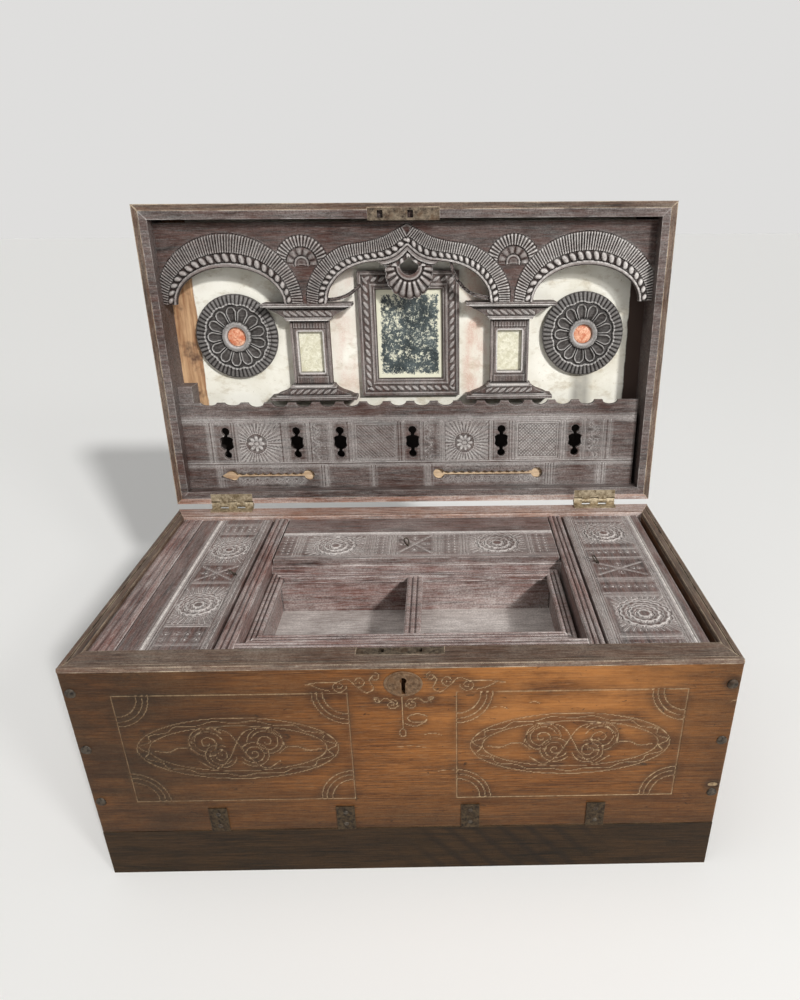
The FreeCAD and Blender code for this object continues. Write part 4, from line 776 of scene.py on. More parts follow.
def vine_lines():
    """Vines that spread from the keyhole, and the stem below it."""
    lines = [[(-2, 219), (-2, 181)], ellipse_line((-2, 177), 3, 4.5, steps=16),
             ellipse_line((12, 194), 9, 5, 20, 340, 20), smooth_line([(0, 188), (10, 185), (20, 190)])]
    for way, far in ((-1, -88), (1, 92)):
        stem = mirrored(way, (24, 243), (30, 238), (27, 228), (34, 224), (42, 231), (50, 239), (60, 236),
                        (74, 236))
        lines.append(smooth_line(stem + [(far, 233)]))
        lines.append(smooth_line(mirrored(way, (66, 226), (76, 229), (84, 234))))
        lines.append(smooth_line(mirrored(way, (3, 208), (14, 217), (22, 212), x=-2) + [(way * 27, 218)]))
        for x, z, radius, start, turns, hand in ((25, 241, 4.5, 90, 1.4, way), (40, 236, 6, 270, 1.3, -way),
                                                 (58, 231, 7, 90 + 90 * way, 1.6, way),
                                                 (25, 216, 3.4, 270, 1.2, -way),
                                                 (9 - 2 * way, 210, 6, 90, 1.6, way)):
            lines.append(spiral((way * x, z), radius, start, turns, hand))
    return lines


PANELS = ((-263, -51, 97, 224), (48, 259, 96, 223))
OVALS = ((-157, 161, 1), (155, 161, -1))
SCRATCHES = ((-10, 160, 30), (30, 130, 22), (18, 175, 16), (80, 205, 14), (115, 210, 9), (300, 208, 8))
CHIPS = ((298, 107), (298, 228))


def front_lines():
    lines = vine_lines()
    for panel in PANELS:
        lines += panel_lines(*panel)
    for oval in OVALS:
        lines += oval_lines(*oval)
    return lines


def front_height(u, v):
    rise = np.zeros(u.shape)
    for line in front_lines():
        carve(rise, u, v, line, 0.95, 0.8)
    carve(rise, u, v, [(-55, 72), (170, 72)], 0.8, 0.5)
    for x, z, run in SCRATCHES:
        carve(rise, u, v, smooth_line([(x, z), (x + run / 2, z + 1.5), (x + run, z - 1)]), 0.9, 0.5)
    for x, z in CHIPS:
        rise -= 1.6 * unit(1 - (np.hypot((u - x) / 8, (v - z) / 5)))
    rise -= 9 * unit(0.4 - keyhole_gap(u, v))
    rise += 0.08 * np.sin(v * 0.21 + 1.4 * np.sin(u * 0.02)) * np.sin(u * 0.013 + v * 0.05)
    return np.minimum(rise - 0.15, 0)


relief("front_board", (-FRONT_HALF, FRONT_HALF), (FRONT_LOW, FRONT_HIGH), 1.1, front_height, -14, on_front,
       finishes["front"], "chest", ["front_board"], hollow=0.35)


# Till lids
def rosette(rise, u, v, centre, size, rays, half_u, half_v):
    """A flower of three scalloped tiers, with rays out to the edges of its panel."""
    x, y = u - centre[0], v - centre[1]
    near = (np.abs(x) < half_u) & (np.abs(y) < half_v)
    radius, angle = np.hypot(x[near], y[near]), np.arctan2(y[near], x[near])
    cut = np.zeros(radius.shape)
    for share, lobes, swell in ((1.0, 16, 1.7), (0.64, 12, 1.5), (0.3, 8, 0.9)):
        line = size * share + swell * (np.abs(np.cos(lobes * angle / 2 + share * 3)) - 0.6)
        gap = radius - line
        cut -= 1.6 * np.where(gap > 0, unit(1 - gap / 3.0), unit(1 + gap / 0.7))
        cut += 0.3 * np.where(gap < 0, unit(1 + gap / 5), 0)
    ray = unit(1 - np.abs(np.sin(rays * angle / 2)) * radius / 20)
    cut -= 0.8 * ray * soft(radius, size + 3, size + 5)
    rise[near] += cut


def punch(rise, u, v, x, y, size, turn, depth=0.9):
    """A three-cornered punch mark."""
    near = (np.abs(u - x) < size) & (np.abs(v - y) < size)
    if near.any():
        a, b = u[near] - x, v[near] - y
        gap = np.max([a * math.cos(t) + b * math.sin(t) for t in
                      (turn, turn + 2 * math.pi / 3, turn + 4 * math.pi / 3)], axis=0)
        rise[near] -= depth * unit(1 - gap / (size * 0.55))


def marks_row(rise, u, v, places, y, size):
    for index, x in enumerate(places):
        punch(rise, u, v, x, y, size, math.pi / 2 if index % 2 else -math.pi / 2)


def cross_panel(rise, u, v, x0, x1, y0, y1):
    for corners in (((x0, y0), (x1, y1)), ((x0, y1), (x1, y0))):
        carve(rise, u, v, list(corners), 0.9, 0.7)
    middle_x, middle_y = (x0 + x1) / 2, (y0 + y1) / 2
    for dx, dy, turn in ((0.3, 0, 0), (-0.3, 0, math.pi), (0, 0.28, math.pi / 2), (0, -0.28, -math.pi / 2)):
        punch(rise, u, v, middle_x + dx * (x1 - x0), middle_y + dy * (y1 - y0), 4.5, turn)
        punch(rise, u, v, middle_x + 1.35 * dx * (x1 - x0), middle_y + 1.35 * dy * (y1 - y0), 2.6,
              turn + math.pi)


def straight(rise, place, spots, low, high, across, half=0.65, depth=0.6):
    """Grooves at given places on one axis, between two places on the other."""
    held = (across > low) & (across < high)
    for spot in spots:
        rise += groove(place - spot, half, depth) * held


def rope(rise, place, low, high, run, pitch=2.6, depth=0.45):
    """A band of fine slanting nicks."""
    held = (place > low) & (place < high)
    rise -= held * depth * unit(1 - np.abs(np.sin(math.pi * (run + place) / pitch)) * 1.6)


def dot_rows(rise, u, v, xs, ys, size=2.6):
    for i, x in enumerate(xs):
        for j, y in enumerate(ys):
            punch(rise, u, v, x, y, size, math.pi / 2 * ((i + j) % 4), 0.8)


SEAM_WIDTH, SEAM_DEPTH = 2, 0.9


def lid_ground(place, seam):
    """The flat top of a till lid, with the seam beside its carved part."""
    return TILL_TOP - 0.1 - SEAM_DEPTH * ((place > seam) & (place < seam + SEAM_WIDTH))


def left_lid_height(u, v):
    rise = lid_ground(u, -243)
    y = v - FRONT_Y
    straight(rise, u, (-244.3, -239.6, -237.2, -234.8), 0, 400, y)
    straight(rise, u, (-188.2, -185.2, -182.2), 0, 400, y)
    rope(rise, u, -188, -185.4, y)
    rope(rise, u, -185, -182.4, y)
    straight(rise, y, (40, 72, 75, 78, 158, 161, 200, 203, 280, 284, 306, 309), -234, -189, u)
    rosette(rise, u, v, (-212, 62), 20.5, 44, 22, 33)
    rosette(rise, u, v, (-212, -63), 20.5, 44, 22, 36)
    cross_panel(rise, u, v, -231, -192, -11, 21)
    dot_rows(rise, u, v, (-228, -217, -207, -196), (-127, -117), 4.2)
    dot_rows(rise, u, v, (-228, -219, -210, -201, -194), (113, 118.5, 125.5), 3.2)
    return rise


def right_lid_height(u, v):
    rise = lid_ground(u, 272)
    y = v - FRONT_Y
    straight(rise, u, (191.6, 194.2, 196.8, 199.4, 202), 0, 400, y)
    straight(rise, u, (263.5, 266.2, 269, 271.6), 0, 400, y)
    rope(rise, u, 263.6, 266.2, y)
    rope(rise, u, 266.4, 269, y)
    straight(rise, y, (40, 43.5, 47, 119, 122.5, 126, 151, 154.5, 158, 203, 207, 228, 231.5, 305, 308.5, 312),
             202, 263, u)
    rosette(rise, u, v, (232, 96), 22.5, 40, 30, 29)
    rosette(rise, u, v, (236, -91), 24.5, 36, 28, 32)
    cross_panel(rise, u, v, 206, 259, -10, 19)
    dots = [208 + 8.4 * k for k in range(7)]
    for place in (31, 140, 220):
        marks_row(rise, u, v, dots, place + FRONT_Y, 3.8)
    dot_rows(rise, u, v, dots, (144.5, 149.5), 2.6)
    return rise


def back_lid_height(u, v):
    rise = lid_ground(v, 102)
    y = v - FRONT_Y
    straight(rise, y, (216, 219.5), -400, 400, u)
    straight(rise, y, (274, 276), -400, 400, u)
    lines = (-136, -133, -130, -127, -55, -51, -47, -43, -28, -24.5, -21, -17.5, 26, 29.5, 33, 36.5, 57, 60,
             63, 66.5, 135, 138.5, 142)
    straight(rise, u, lines, 220, 274, y)
    rosette(rise, u, v, (-89, 70), 22, 36, 33, 24)
    rosette(rise, u, v, (101, 73), 23, 36, 32, 25)
    cross_panel(rise, u, v, -16, 24, 48, 95)
    rows = [50 + 7.2 * k for k in range(7)]
    for x in (-149, -142, -40, -33, 44, 51, 150, 158):
        dot_rows(rise, u, v, (x,), rows, 3)
    return rise


LID_STEP = 0.62
SIDE_LID_RUN, BACK_LID_RUN = (-146, 147), (36, 146)
for side, across, run, height, finish in (("left", (-265, -178), SIDE_LID_RUN, left_lid_height, "till_deep"),
                                          ("right", (190, 284), SIDE_LID_RUN, right_lid_height, "till_deep"),
                                          ("back", (-156, 170), BACK_LID_RUN, back_lid_height, "till")):
    name = side + "_till_lid"
    relief(name, across, run, LID_STEP, height, TILL_UNDER, on_top, finishes[finish], side + "_till", [name],
           hollow=0.4, crest=0.4)

# Gallery panel: pierced, scalloped and incised
GALLERY_HIGH = 127.0
GALLERY_ENDS = (-289.0, 284.0)
BALUSTERS = (-236, -147, -92, 0, 113, 207)
SLOTS = ((-233, -135), (33, 160))
SLOT_LOW, SLOT_HIGH = 30.6, 37.2
TOOTH_PITCH, TOOTH_DEPTH = 9.8, 2.2
SCALLOPS, SCALLOP_START, SCALLOP_PITCH, SCALLOP_HALF = 18, -252.5, 29.5, 9.6
GALLERY_FACE, GALLERY_BACK = 31.85, 26
LEAF_PITCH = 12.6


def gallery_outline(u, v):
    gap = box_gap(u, v, *GALLERY_ENDS, LID_LOW, GALLERY_HIGH)
    for index in range(SCALLOPS):
        x = SCALLOP_START + SCALLOP_PITCH * index
        deep = 3.4 if index < 2 else 5.5
        gap = np.maximum(gap, deep * (1 - np.hypot((u - x) / SCALLOP_HALF, (v - GALLERY_HIGH) / deep)))
    for x in BALUSTERS:
        half = ((2.3, 60), (2.3, 66.5), (5.4, 67.6), (8.6, 71), (7.6, 76.5), (8.6, 82), (5.2, 84),
                (2.3, 84.8), (2.3, 91))
        outline = [(x + out, up) for out, up in half] + [(x - out, up) for out, up in reversed(half)]
        hole = np.minimum(disc_gap(u, v, (x, 60.5), 5.0), disc_gap(u, v, (x, 91), 5.2))
        gap = np.maximum(gap, -np.minimum(hole, polygon_gap(u, v, outline)))
    for left, right in SLOTS:
        tooth = TOOTH_DEPTH * np.abs(np.sin(math.pi * (u - left) / TOOTH_PITCH)) ** 0.7
        bar = box_gap(u, v, left, right, SLOT_LOW, SLOT_HIGH - tooth)
        ends = np.minimum(disc_gap(u, v, (left, 33), 7.3), disc_gap(u, v, (right, 33), 7.3))
        gap = np.maximum(gap, -np.minimum(bar, ends))
    tip = polygon_gap(u, v, [(-249, 31.5), (-238, 27), (-238, 39)])
    return np.maximum(gap, -tip)


def burst(rise, u, v, centre, x0, x1, y0, y1, petals):
    """A small flower with strokes that run out to the edges of its panel."""
    near = (u > x0) & (u < x1) & (v > y0) & (v < y1)
    x, y = u[near] - centre[0], v[near] - centre[1]
    radius, angle = np.hypot(x, y), np.arctan2(y, x)
    stroke = unit(1 - np.abs(np.sin(17 * angle + 0.5 * np.sin(3 * angle))) * radius / 16)
    cut = -0.9 * stroke * soft(radius, 12.5, 15)
    petal = 4.5 + 6.3 * np.abs(np.cos(petals * angle / 2)) ** 0.8
    cut += groove(radius - petal, 1.2, 0.9)
    cut += groove(radius - 3.2, 0.9, 0.9)
    cut -= 0.45 * ((radius > petal) & (radius < 13))
    rise[near] += cut


def hatched(rise, u, v, x0, x1, y0, y1, both):
    """A panel of fine slanting lines inside a dotted border."""
    near = (u > x0 + 4) & (u < x1 - 4) & (v > y0 + 4) & (v < y1 - 4)
    a, b = u[near], v[near]
    cut = 0.5 * unit(1 - np.abs(np.sin(math.pi * (a + b) / 4.4)) * 1.5)
    if both:
        cut = np.maximum(cut, 0.5 * unit(1 - np.abs(np.sin(math.pi * (a - b) / 4.4)) * 1.5))
    rise[near] -= cut
    for inset in (1.0, 3.6):
        carve(rise, u, v, [(x0 + inset, y0 + inset), (x1 - inset, y0 + inset), (x1 - inset, y1 - inset),
                           (x0 + inset, y1 - inset), (x0 + inset, y0 + inset)], 0.7, 0.5)


def gallery_height(u, v):
    rise = np.full(u.shape, GALLERY_FACE)
    straight(rise, v, (102.5, 105, 107.6, 46.2, 48.4, 50.6), -400, 400, u, 0.8, 0.65)
    upper = (-258, -255, -252, -228, -224.6, -221, -166, -162, -158, -135, -132, -129, -106, -103.4, -101,
             -82, -78, -74.6, -18, -14.6, -11, 9, 11.6, 14, 36, 38.6, 41, 97, 100, 103, 123, 126.6, 130, 188,
             191.6, 195, 216, 220, 243, 247.4, 252)
    straight(rise, u, upper, 51, 102, v)
    straight(rise, u, (-251, -247.6, -244, -118, -114.6, -111, -54, -51.4, -49, 16, 20, 24, 171, 174.4, 177.8,
                       181, 238, 241, 244, 247), 17, 46, v)
    burst(rise, u, v, (-198, 75), -220, -167, 52, 101, 8)
    burst(rise, u, v, (66, 74), 42, 96, 52, 101, 9)
    hatched(rise, u, v, -74, -19, 52, 101, False)
    hatched(rise, u, v, 131, 187, 52, 101, True)
    for x in (-122, 21, 230):
        wave = [(x + 4 * math.sin(k * 0.62), 53 + k * 1.6) for k in range(31)]
        carve(rise, u, v, wave, 0.9, 0.7)
        dot_rows(rise, u, v, (x - 4, x + 4), [56 + 9.6 * k for k in range(5)], 2.4)
    for x in (-111, 32.5, 238):
        dot_rows(rise, u, v, (x,), [54 + 4.8 * k for k in range(10)], 2.1)
    for left, right in SLOTS:
        for index in range(int((right - left) / LEAF_PITCH)):
            x = left + 12 + LEAF_PITCH * index
            for radius in (5.6, 3.4):
                carve(rise, u, v, ellipse_line((x, 28.4), radius, radius, 180, 360, 14), 0.8, 0.6)
            carve(rise, u, v, ellipse_line((x, 38.6), 4.4, 4, 0, 180, 10), 0.7, 0.45)
    return rise


relief("gallery_panel", GALLERY_ENDS, (LID_LOW, GALLERY_HIGH), 0.84, gallery_height, GALLERY_BACK, on_lid,
       finishes["carved"], "lid", ["gallery_panel"], inside=gallery_outline, hollow=0.4, crest=0.34,
       soften=0.6)


def strip_height(u, v):
    return 25.8 + 0.1 * np.sin(v * 0.8 + 0.02 * u)


for side, left, right in (("left", -252, -123), ("right", 22, 171)):
    relief("slot_backing_" + side, (left, right), (22, 44), 1.6, strip_height, 23.6, on_lid, finishes["bare"],
           "lid", (), soften=0.3)


# Arcade board
ARCH_FOOT, ARCH_TOP = 244.0, 333.0
ARCH_X = 210.5
ARCADE_GROUND, ARCADE_BACK = 29.9, 24
ARCH_BEADS, ARCH_RIBS = (21, 21, 36), (74, 74, 106)
EDGE_SHARE, BEAD_SHARE, BAND_SHARE = 0.13, 0.285, 0.43
FAN_RADIUS, FAN_PETAL_RADIUS, FAN_EYE_RADIUS = 31.2, 18.5, 8.6
SHELL_LOBES, SHELL_RING, SHELL_NECK = 11, 16, 26
STAR_RADIUS, STAR_HIGH = 11.2, 10.5
HOOP_HALF = 2.0
FAN_PLACES = ((-123, 288.5), (123, 288.5))
SHELL_EYE = (1.5, 285.0)
HOOPS = (((50, 290), (56, 272), (73, 255), (98, 248)), ((-98, 248), (-84, 249.5), (-70, 254.5), (-57, 264)))


def side_line(centre, share):
    return ellipse_line((centre, ARCH_FOOT), 63 + 23 * share, 41 + 37 * share, 0, 180, 56)


def centre_line(share):
    inner = ((97, 244), (93, 260), (82, 274), (68, 283), (52, 288.5), (36, 290.5), (24, 292), (12, 297),
             (0, 307))
    outer = ((121, 244), (119, 264), (108, 284), (92, 299), (74, 308), (52, 311.5), (32, 316), (14, 324),
             (0, 331.5))
    half = [(a[0] + (b[0] - a[0]) * share, a[1] + (b[1] - a[1]) * share) for a, b in zip(inner, outer)]
    half = smooth_line(half, 5)
    return half + [(-x, y) for x, y in reversed(half[:-1])]


ARCHES = [[line(share) for share in (0, 0.5, 1)] for line in (
    lambda share: side_line(-ARCH_X, share), lambda share: side_line(ARCH_X, share), centre_line)]


def closed_foot(line):
    return line + [(line[-1][0], ARCH_FOOT - 3), (line[0][0], ARCH_FOOT - 3)]


def shell_polar(u, v):
    x, y = u - SHELL_EYE[0], v - SHELL_EYE[1]
    return np.hypot(x, y), np.degrees(np.arctan2(y, x)) % 360


def shell_gap(u, v):
    """The scalloped edge of the pendant shell."""
    radius, angle = shell_polar(u, v)
    swing = unit((angle - 180) / 180)
    lobe = np.abs(np.sin(math.pi * swing * SHELL_LOBES)) ** 0.6
    edge = SHELL_NECK + 9.2 * np.sin(math.pi * swing) ** 1.4 + 1.6 * lobe
    gap = radius - np.where(angle >= 180, edge, SHELL_NECK)
    neck = polygon_gap(u, v, [(-42, 296), (-26, 284), (28, 284), (43, 296)])
    return np.minimum(gap, neck)


def star_gap(u, v):
    """The ogee-pointed eye over the shell."""
    x = np.abs(u - SHELL_EYE[0])
    y = v - SHELL_EYE[1] - 1.5
    bowl = np.where(y < 0, np.hypot(x, y) - STAR_RADIUS, 1e3)
    point = np.where(y >= 0, np.maximum(x - STAR_RADIUS * unit(1 - y / STAR_HIGH) ** 1.6, y - STAR_HIGH), 1e3)
    return np.minimum(bowl, point)


def hoops_gap(u, v):
    return np.minimum(*[path_gap(u, v, smooth_line(line))[0] for line in HOOPS]) - HOOP_HALF


def arcade_solid(u, v):
    """The board and its pendant shell, without the hoops."""
    gap = box_gap(u, v, -LID_HALF, LID_HALF, ARCH_FOOT, ARCH_TOP)
    for inner, _, _ in ARCHES:
        gap = np.maximum(gap, -polygon_gap(u, v, closed_foot(inner)))
    return np.maximum(np.minimum(gap, shell_gap(u, v)), -star_gap(u, v))


def arcade_outline(u, v):
    return np.minimum(arcade_solid(u, v), np.maximum(hoops_gap(u, v), ARCH_FOOT + 0.5 - v))


def arcade_height(u, v):
    rise = np.full(u.shape, ARCADE_GROUND)
    taken = np.zeros(u.shape, bool)
    for (inner, middle, outer), beads, ribs in zip(ARCHES, ARCH_BEADS, ARCH_RIBS):
        xs, ys = [p[0] for p in outer], [p[1] for p in outer]
        near = (u > min(xs) - 1) & (u < max(xs) + 1) & (v < max(ys) + 1)
        a, b = u[near], v[near]
        within = polygon_gap(a, b, closed_foot(outer)) < 0
        to_inner, _ = path_gap(a, b, inner)
        to_outer, _ = path_gap(a, b, outer)
        _, run = path_gap(a, b, middle)
        length = sum(math.dist(p, q) for p, q in zip(middle, middle[1:]))
        share = to_inner / (to_inner + to_outer + 1e-6)
        rib = np.abs(np.cos(math.pi * (run + 2.2 * share) * ribs / length)) ** 0.8
        band = 29.5 + 2.5 * rib * soft(1 - share, 0, 0.05) - 0.5 * share
        cell = (run * beads / length) % 1 - 0.5
        slant = cell - 1.1 * (share - BEAD_SHARE)
        dome = unit(1 - (slant / 0.38) ** 2 - ((share - BEAD_SHARE) / 0.15) ** 2) ** 0.5
        bead = 29.4 + 3.9 * dome
        level = np.where(share > BAND_SHARE, band, bead)
        level = np.where(share < EDGE_SHARE, 31.6 - 2 * unit(0.03 - share) * 30, level)
        level += groove(share - EDGE_SHARE - 0.015, 0.02, 1.4)
        level += groove(share - BAND_SHARE + 0.005, 0.02, 1.2)
        rise[near] = np.where(within, level, rise[near])
        taken[near] |= within
    for x, y in FAN_PLACES:
        radius, angle = np.hypot(u - x, v - y), np.arctan2(v - y, u - x)
        rib = np.abs(np.cos(21 * angle)) ** 0.8
        level = 29.2 + 2.3 * rib * soft(30 + 1.2 * rib - radius, 0, 1.2)
        petal = np.abs(np.cos(5.5 * angle)) ** 0.7
        level = np.where(radius < FAN_PETAL_RADIUS, 29.2 + 2.3 * petal * peak(radius - 13.5, 4.6) ** 0.4,
                         level)
        level = np.where(radius < FAN_EYE_RADIUS, 30.9 - 0.8 * peak(radius - 5.4, 1.0), level)
        level -= 1.1 * peak(radius - 18.6, 0.9) + 1.1 * peak(radius - 8.7, 0.9)
        held = ~taken & (radius < FAN_RADIUS) & (v > y - 1.5 - 0.02 * (u - x) ** 2 * (radius < 9))
        rise = np.where(held, level, rise)
    radius, angle = shell_polar(u, v)
    swing = unit((angle - 180) / 180)
    flute = np.abs(np.sin(math.pi * swing * SHELL_LOBES)) ** 0.6
    shell = 27.4 + 4.2 * flute * soft(radius, 15, 19) - 2.2 * soft(radius, 29, 36)
    shell = np.where(radius < SHELL_RING, 31.4 - 1.6 * unit((radius - 14.6) / 1.2), shell)
    pendant = (shell_gap(u, v) < 0) & (~taken | (v < 286)) & (v < 292 - 0.15 * np.abs(u))
    rise = np.where(pendant & (angle > 180), shell, rise)
    hoop = (hoops_gap(u, v) < 0) & (arcade_solid(u, v) > -0.4)
    return np.where(hoop, 28 - 0.3 * (hoops_gap(u, v) + HOOP_HALF), rise)


relief("arcade_board", (-LID_HALF, LID_HALF), (ARCH_FOOT, ARCH_TOP), 0.7, arcade_height, ARCADE_BACK, on_lid,
       finishes["arches"], "lid", ["arcade_board"], inside=arcade_outline, hollow=0.9, crest=0.9)


# Mirror frame
MIRROR_BOX = (-62.5, 60.5, 130.0, 279.0)
MIRROR_BAND = 21.5
MIRROR_FACE, MIRROR_LEAF_PITCH, MIRROR_LEAF_IN = 8.2, 9.4, 9.3


def mirror_outline(u, v):
    outer = box_gap(u, v, *MIRROR_BOX)
    return np.maximum(outer, -(outer + MIRROR_BAND))


def mirror_height(u, v):
    deep = -box_gap(u, v, *MIRROR_BOX)
    stile = sides_gap(u, *MIRROR_BOX[:2]) > sides_gap(v, *MIRROR_BOX[2:])
    run = np.where(stile, v, u)
    rise = MIRROR_FACE - 0.25 * np.clip(deep - 14, 0, 8)
    rise += groove(deep - 4.6, 0.9, 1.6) + groove(deep - 14, 0.9, 1.6) + groove(deep - 18.3, 0.7, 0.9)
    rise += groove(deep - 2.3, 0.5, 0.5)
    phase = (run + (deep - MIRROR_LEAF_IN) * 0.8) / MIRROR_LEAF_PITCH
    leaf = np.sqrt(unit(1 - ((phase % 1 - 0.5) / 0.36) ** 2 - ((deep - MIRROR_LEAF_IN) / 3.4) ** 2))
    carved = 6.6 + 2.0 * leaf - 0.5 * peak(phase % 1 - 0.5, 0.06) * leaf
    rise = np.where((deep > 5) & (deep < 13.6), carved, rise)
    return rise - 1.6 * soft(deep, 19.5, 21.5)


relief("mirror_frame", MIRROR_BOX[:2], MIRROR_BOX[2:], 0.66, mirror_height, 0, on_lid, finishes["carved_up"],
       "lid", ["mirror_frame"], inside=mirror_outline, hollow=0.9, crest=0.9)


# Columns
COLUMN_X, COLUMN_HALF = 122.5, 54
COLUMN_LOW, COLUMN_HIGH = 128, 244
SHAFT_FACE, INSERT_FACE = 14.8, 6.0
INSERT_BOX = (-15, 15, 161, 210)
BASE_TOP, CAPITAL_FOOT = 146, 224
FRIEZE_PITCH, FRIEZE_UP = 8.6, 7.8
COLUMN_PROFILE = ((128, 54), (132, 54), (132.6, 49), (135, 44.5), (138, 36), (141, 30.5), (144, 27.5),
                  (146, 27), (146.6, 23.5), (223.4, 23.5), (224, 27), (226, 27.5), (229, 31), (232.5, 37),
                  (236, 45), (239, 50), (240, 50.5), (240.4, 54), (244, 54))


def column_outline(centre):
    sides = [(half, up) for up, half in COLUMN_PROFILE]
    corners = [(centre + x, y) for x, y in sides] + [(centre - x, y) for x, y in reversed(sides)]
    return lambda u, v: polygon_gap(u, v, corners)


def column_height(centre):
    def height(u, v):
        x = np.abs(u - centre)
        ends = -sides_gap(v, COLUMN_LOW, COLUMN_HIGH)
        top = v > 186
        rise = np.full(u.shape, SHAFT_FACE)
        rise += groove(x - 20.2, 0.9, 1.3)
        frame_gap = box_gap(u - centre, v, *INSERT_BOX)
        rise += np.where((frame_gap < 4.2) & (frame_gap > 0), -0.7, 0)
        rise += groove(frame_gap - 4.3, 0.6, 0.8)
        capital = (v > 223.6) | (v < 146.4)
        swept = 20 - 0.12 * np.clip(x - 29, 0, 40)
        inset = np.where(top, v - CAPITAL_FOOT, BASE_TOP - v)
        swept += groove(inset - 3.2 - 0.012 * np.clip(x - 20, 0, None) ** 1.7, 0.8, 1.0)
        swept += groove(inset - 12.6, 0.7, 1.0)
        rise = np.where(capital, swept, rise)
        frieze = (x < 29) & capital & (inset > 3.4) & (inset < 12.2)
        phase = (u - centre + 4.3 + (inset - FRIEZE_UP) * 1.1) / FRIEZE_PITCH
        leaf = unit(1 - ((phase % 1 - 0.5) / 0.38) ** 2 - ((inset - FRIEZE_UP) / 3.6) ** 2) ** 0.5
        vein = peak(phase % 1 - 0.5, 0.1)
        rise = np.where(frieze, 20.0 + 1.7 * leaf - 0.5 * vein * leaf, rise)
        rise = np.where((x < 29) & capital & (inset <= 3.2), 21.6, rise)
        rise = np.where(ends < 5.4, 25.5, rise)
        slab = np.where(top, 29.8, 23.8)
        rise = np.where(ends < 4, slab - 0.8 * peak(ends - 2, 0.7), rise)
        rise = np.where((ends >= 4) & (ends < 5.4), np.where(top, 26, 22), rise)
        row = (v > 213) & (v < 220) & (x < 19)
        rise = np.where(row, rise - 0.7 * unit(1 - np.abs(np.sin(math.pi * u / 3.6)) * 1.3), rise)
        return np.where(frame_gap < 0, INSERT_FACE, rise)
    return height


for name, centre in (("left_column", -COLUMN_X), ("right_column", COLUMN_X)):
    relief(name, (centre - COLUMN_HALF, centre + COLUMN_HALF), (COLUMN_LOW, COLUMN_HIGH), 0.58,
           column_height(centre), 0, on_lid, finishes["carved_up"], "lid", [name],
           inside=column_outline(centre), hollow=0.9, crest=0.9, soften=0.4)


# Roundels
def turned_relief(name, centre, radii, spokes, height, under, place, finish, body, nodes,
                  hollow=0.8):
    """A carved disc: rings of points whose rise is height(radius, angle), closed by an underside profile."""
    angles = np.linspace(0, 2 * math.pi, spokes, endpoint=False)
    rings, spread = np.meshgrid(radii, angles, indexing="ij")
    rise = height(rings, spread)
    smooth = blur(np.pad(rise, ((0, 0), (8, 8)), mode="wrap"), 2)[:, 8:-8]
    fine = smooth - rise
    levels = [(rings, rise)] + [(np.full(spokes, radius), np.full(spokes, up)) for radius, up in under]
    across = np.concatenate([np.atleast_2d(r * np.cos(spread[0])) for r, _ in levels]) + centre[0]
    up = np.concatenate([np.atleast_2d(r * np.sin(spread[0])) for r, _ in levels]) + centre[1]
    out = np.concatenate([np.atleast_2d(w) for _, w in levels])
    count = out.shape[0]
    flat = [values.ravel() for values in (across, up, out)]
    middle = ([centre[0], centre[0]], [centre[1], centre[1]], [float(rise[0].mean()), float(under[-1][1])])
    flat = [np.concatenate([values, extra]) for values, extra in zip(flat, middle)]
    points = np.stack(np.broadcast_arrays(*place(*flat)), axis=1)
    ids = np.arange(count * spokes).reshape(count, spokes)
    follow = np.roll(ids, -1, axis=1)
    quads = np.stack([ids[:-1], ids[1:], follow[1:], follow[:-1]], axis=-1).reshape(-1, 4)
    hub, back = count * spokes, count * spokes + 1
    caps = [[hub, ids[0, k], follow[0, k]] for k in range(spokes)]
    caps += [[back, follow[-1, k], ids[-1, k]] for k in range(spokes)]
    pad = np.zeros(len(under) * spokes + 2)
    marks = {"dust": np.concatenate([unit(fine / hollow * MARK_GAIN).ravel(), pad]),
             "worn": np.concatenate([unit(-fine / hollow).ravel(), pad])}
    faces = quads.tolist() + [list(map(int, cap)) for cap in caps]
    add_piece(name, points, faces, finish, body, nodes, marks)


RIM_FLUTES, PETALS = 28, 13
PETAL_ROOT, PETAL_WIDEST, PETAL_TIP, PETAL_HALF = 18, 29, 6.6, 6.3
RING_RADIUS, RING_HALF, EYE_RADIUS, EYE_FACE = 14.6, 3.4, 11.5, 5.5


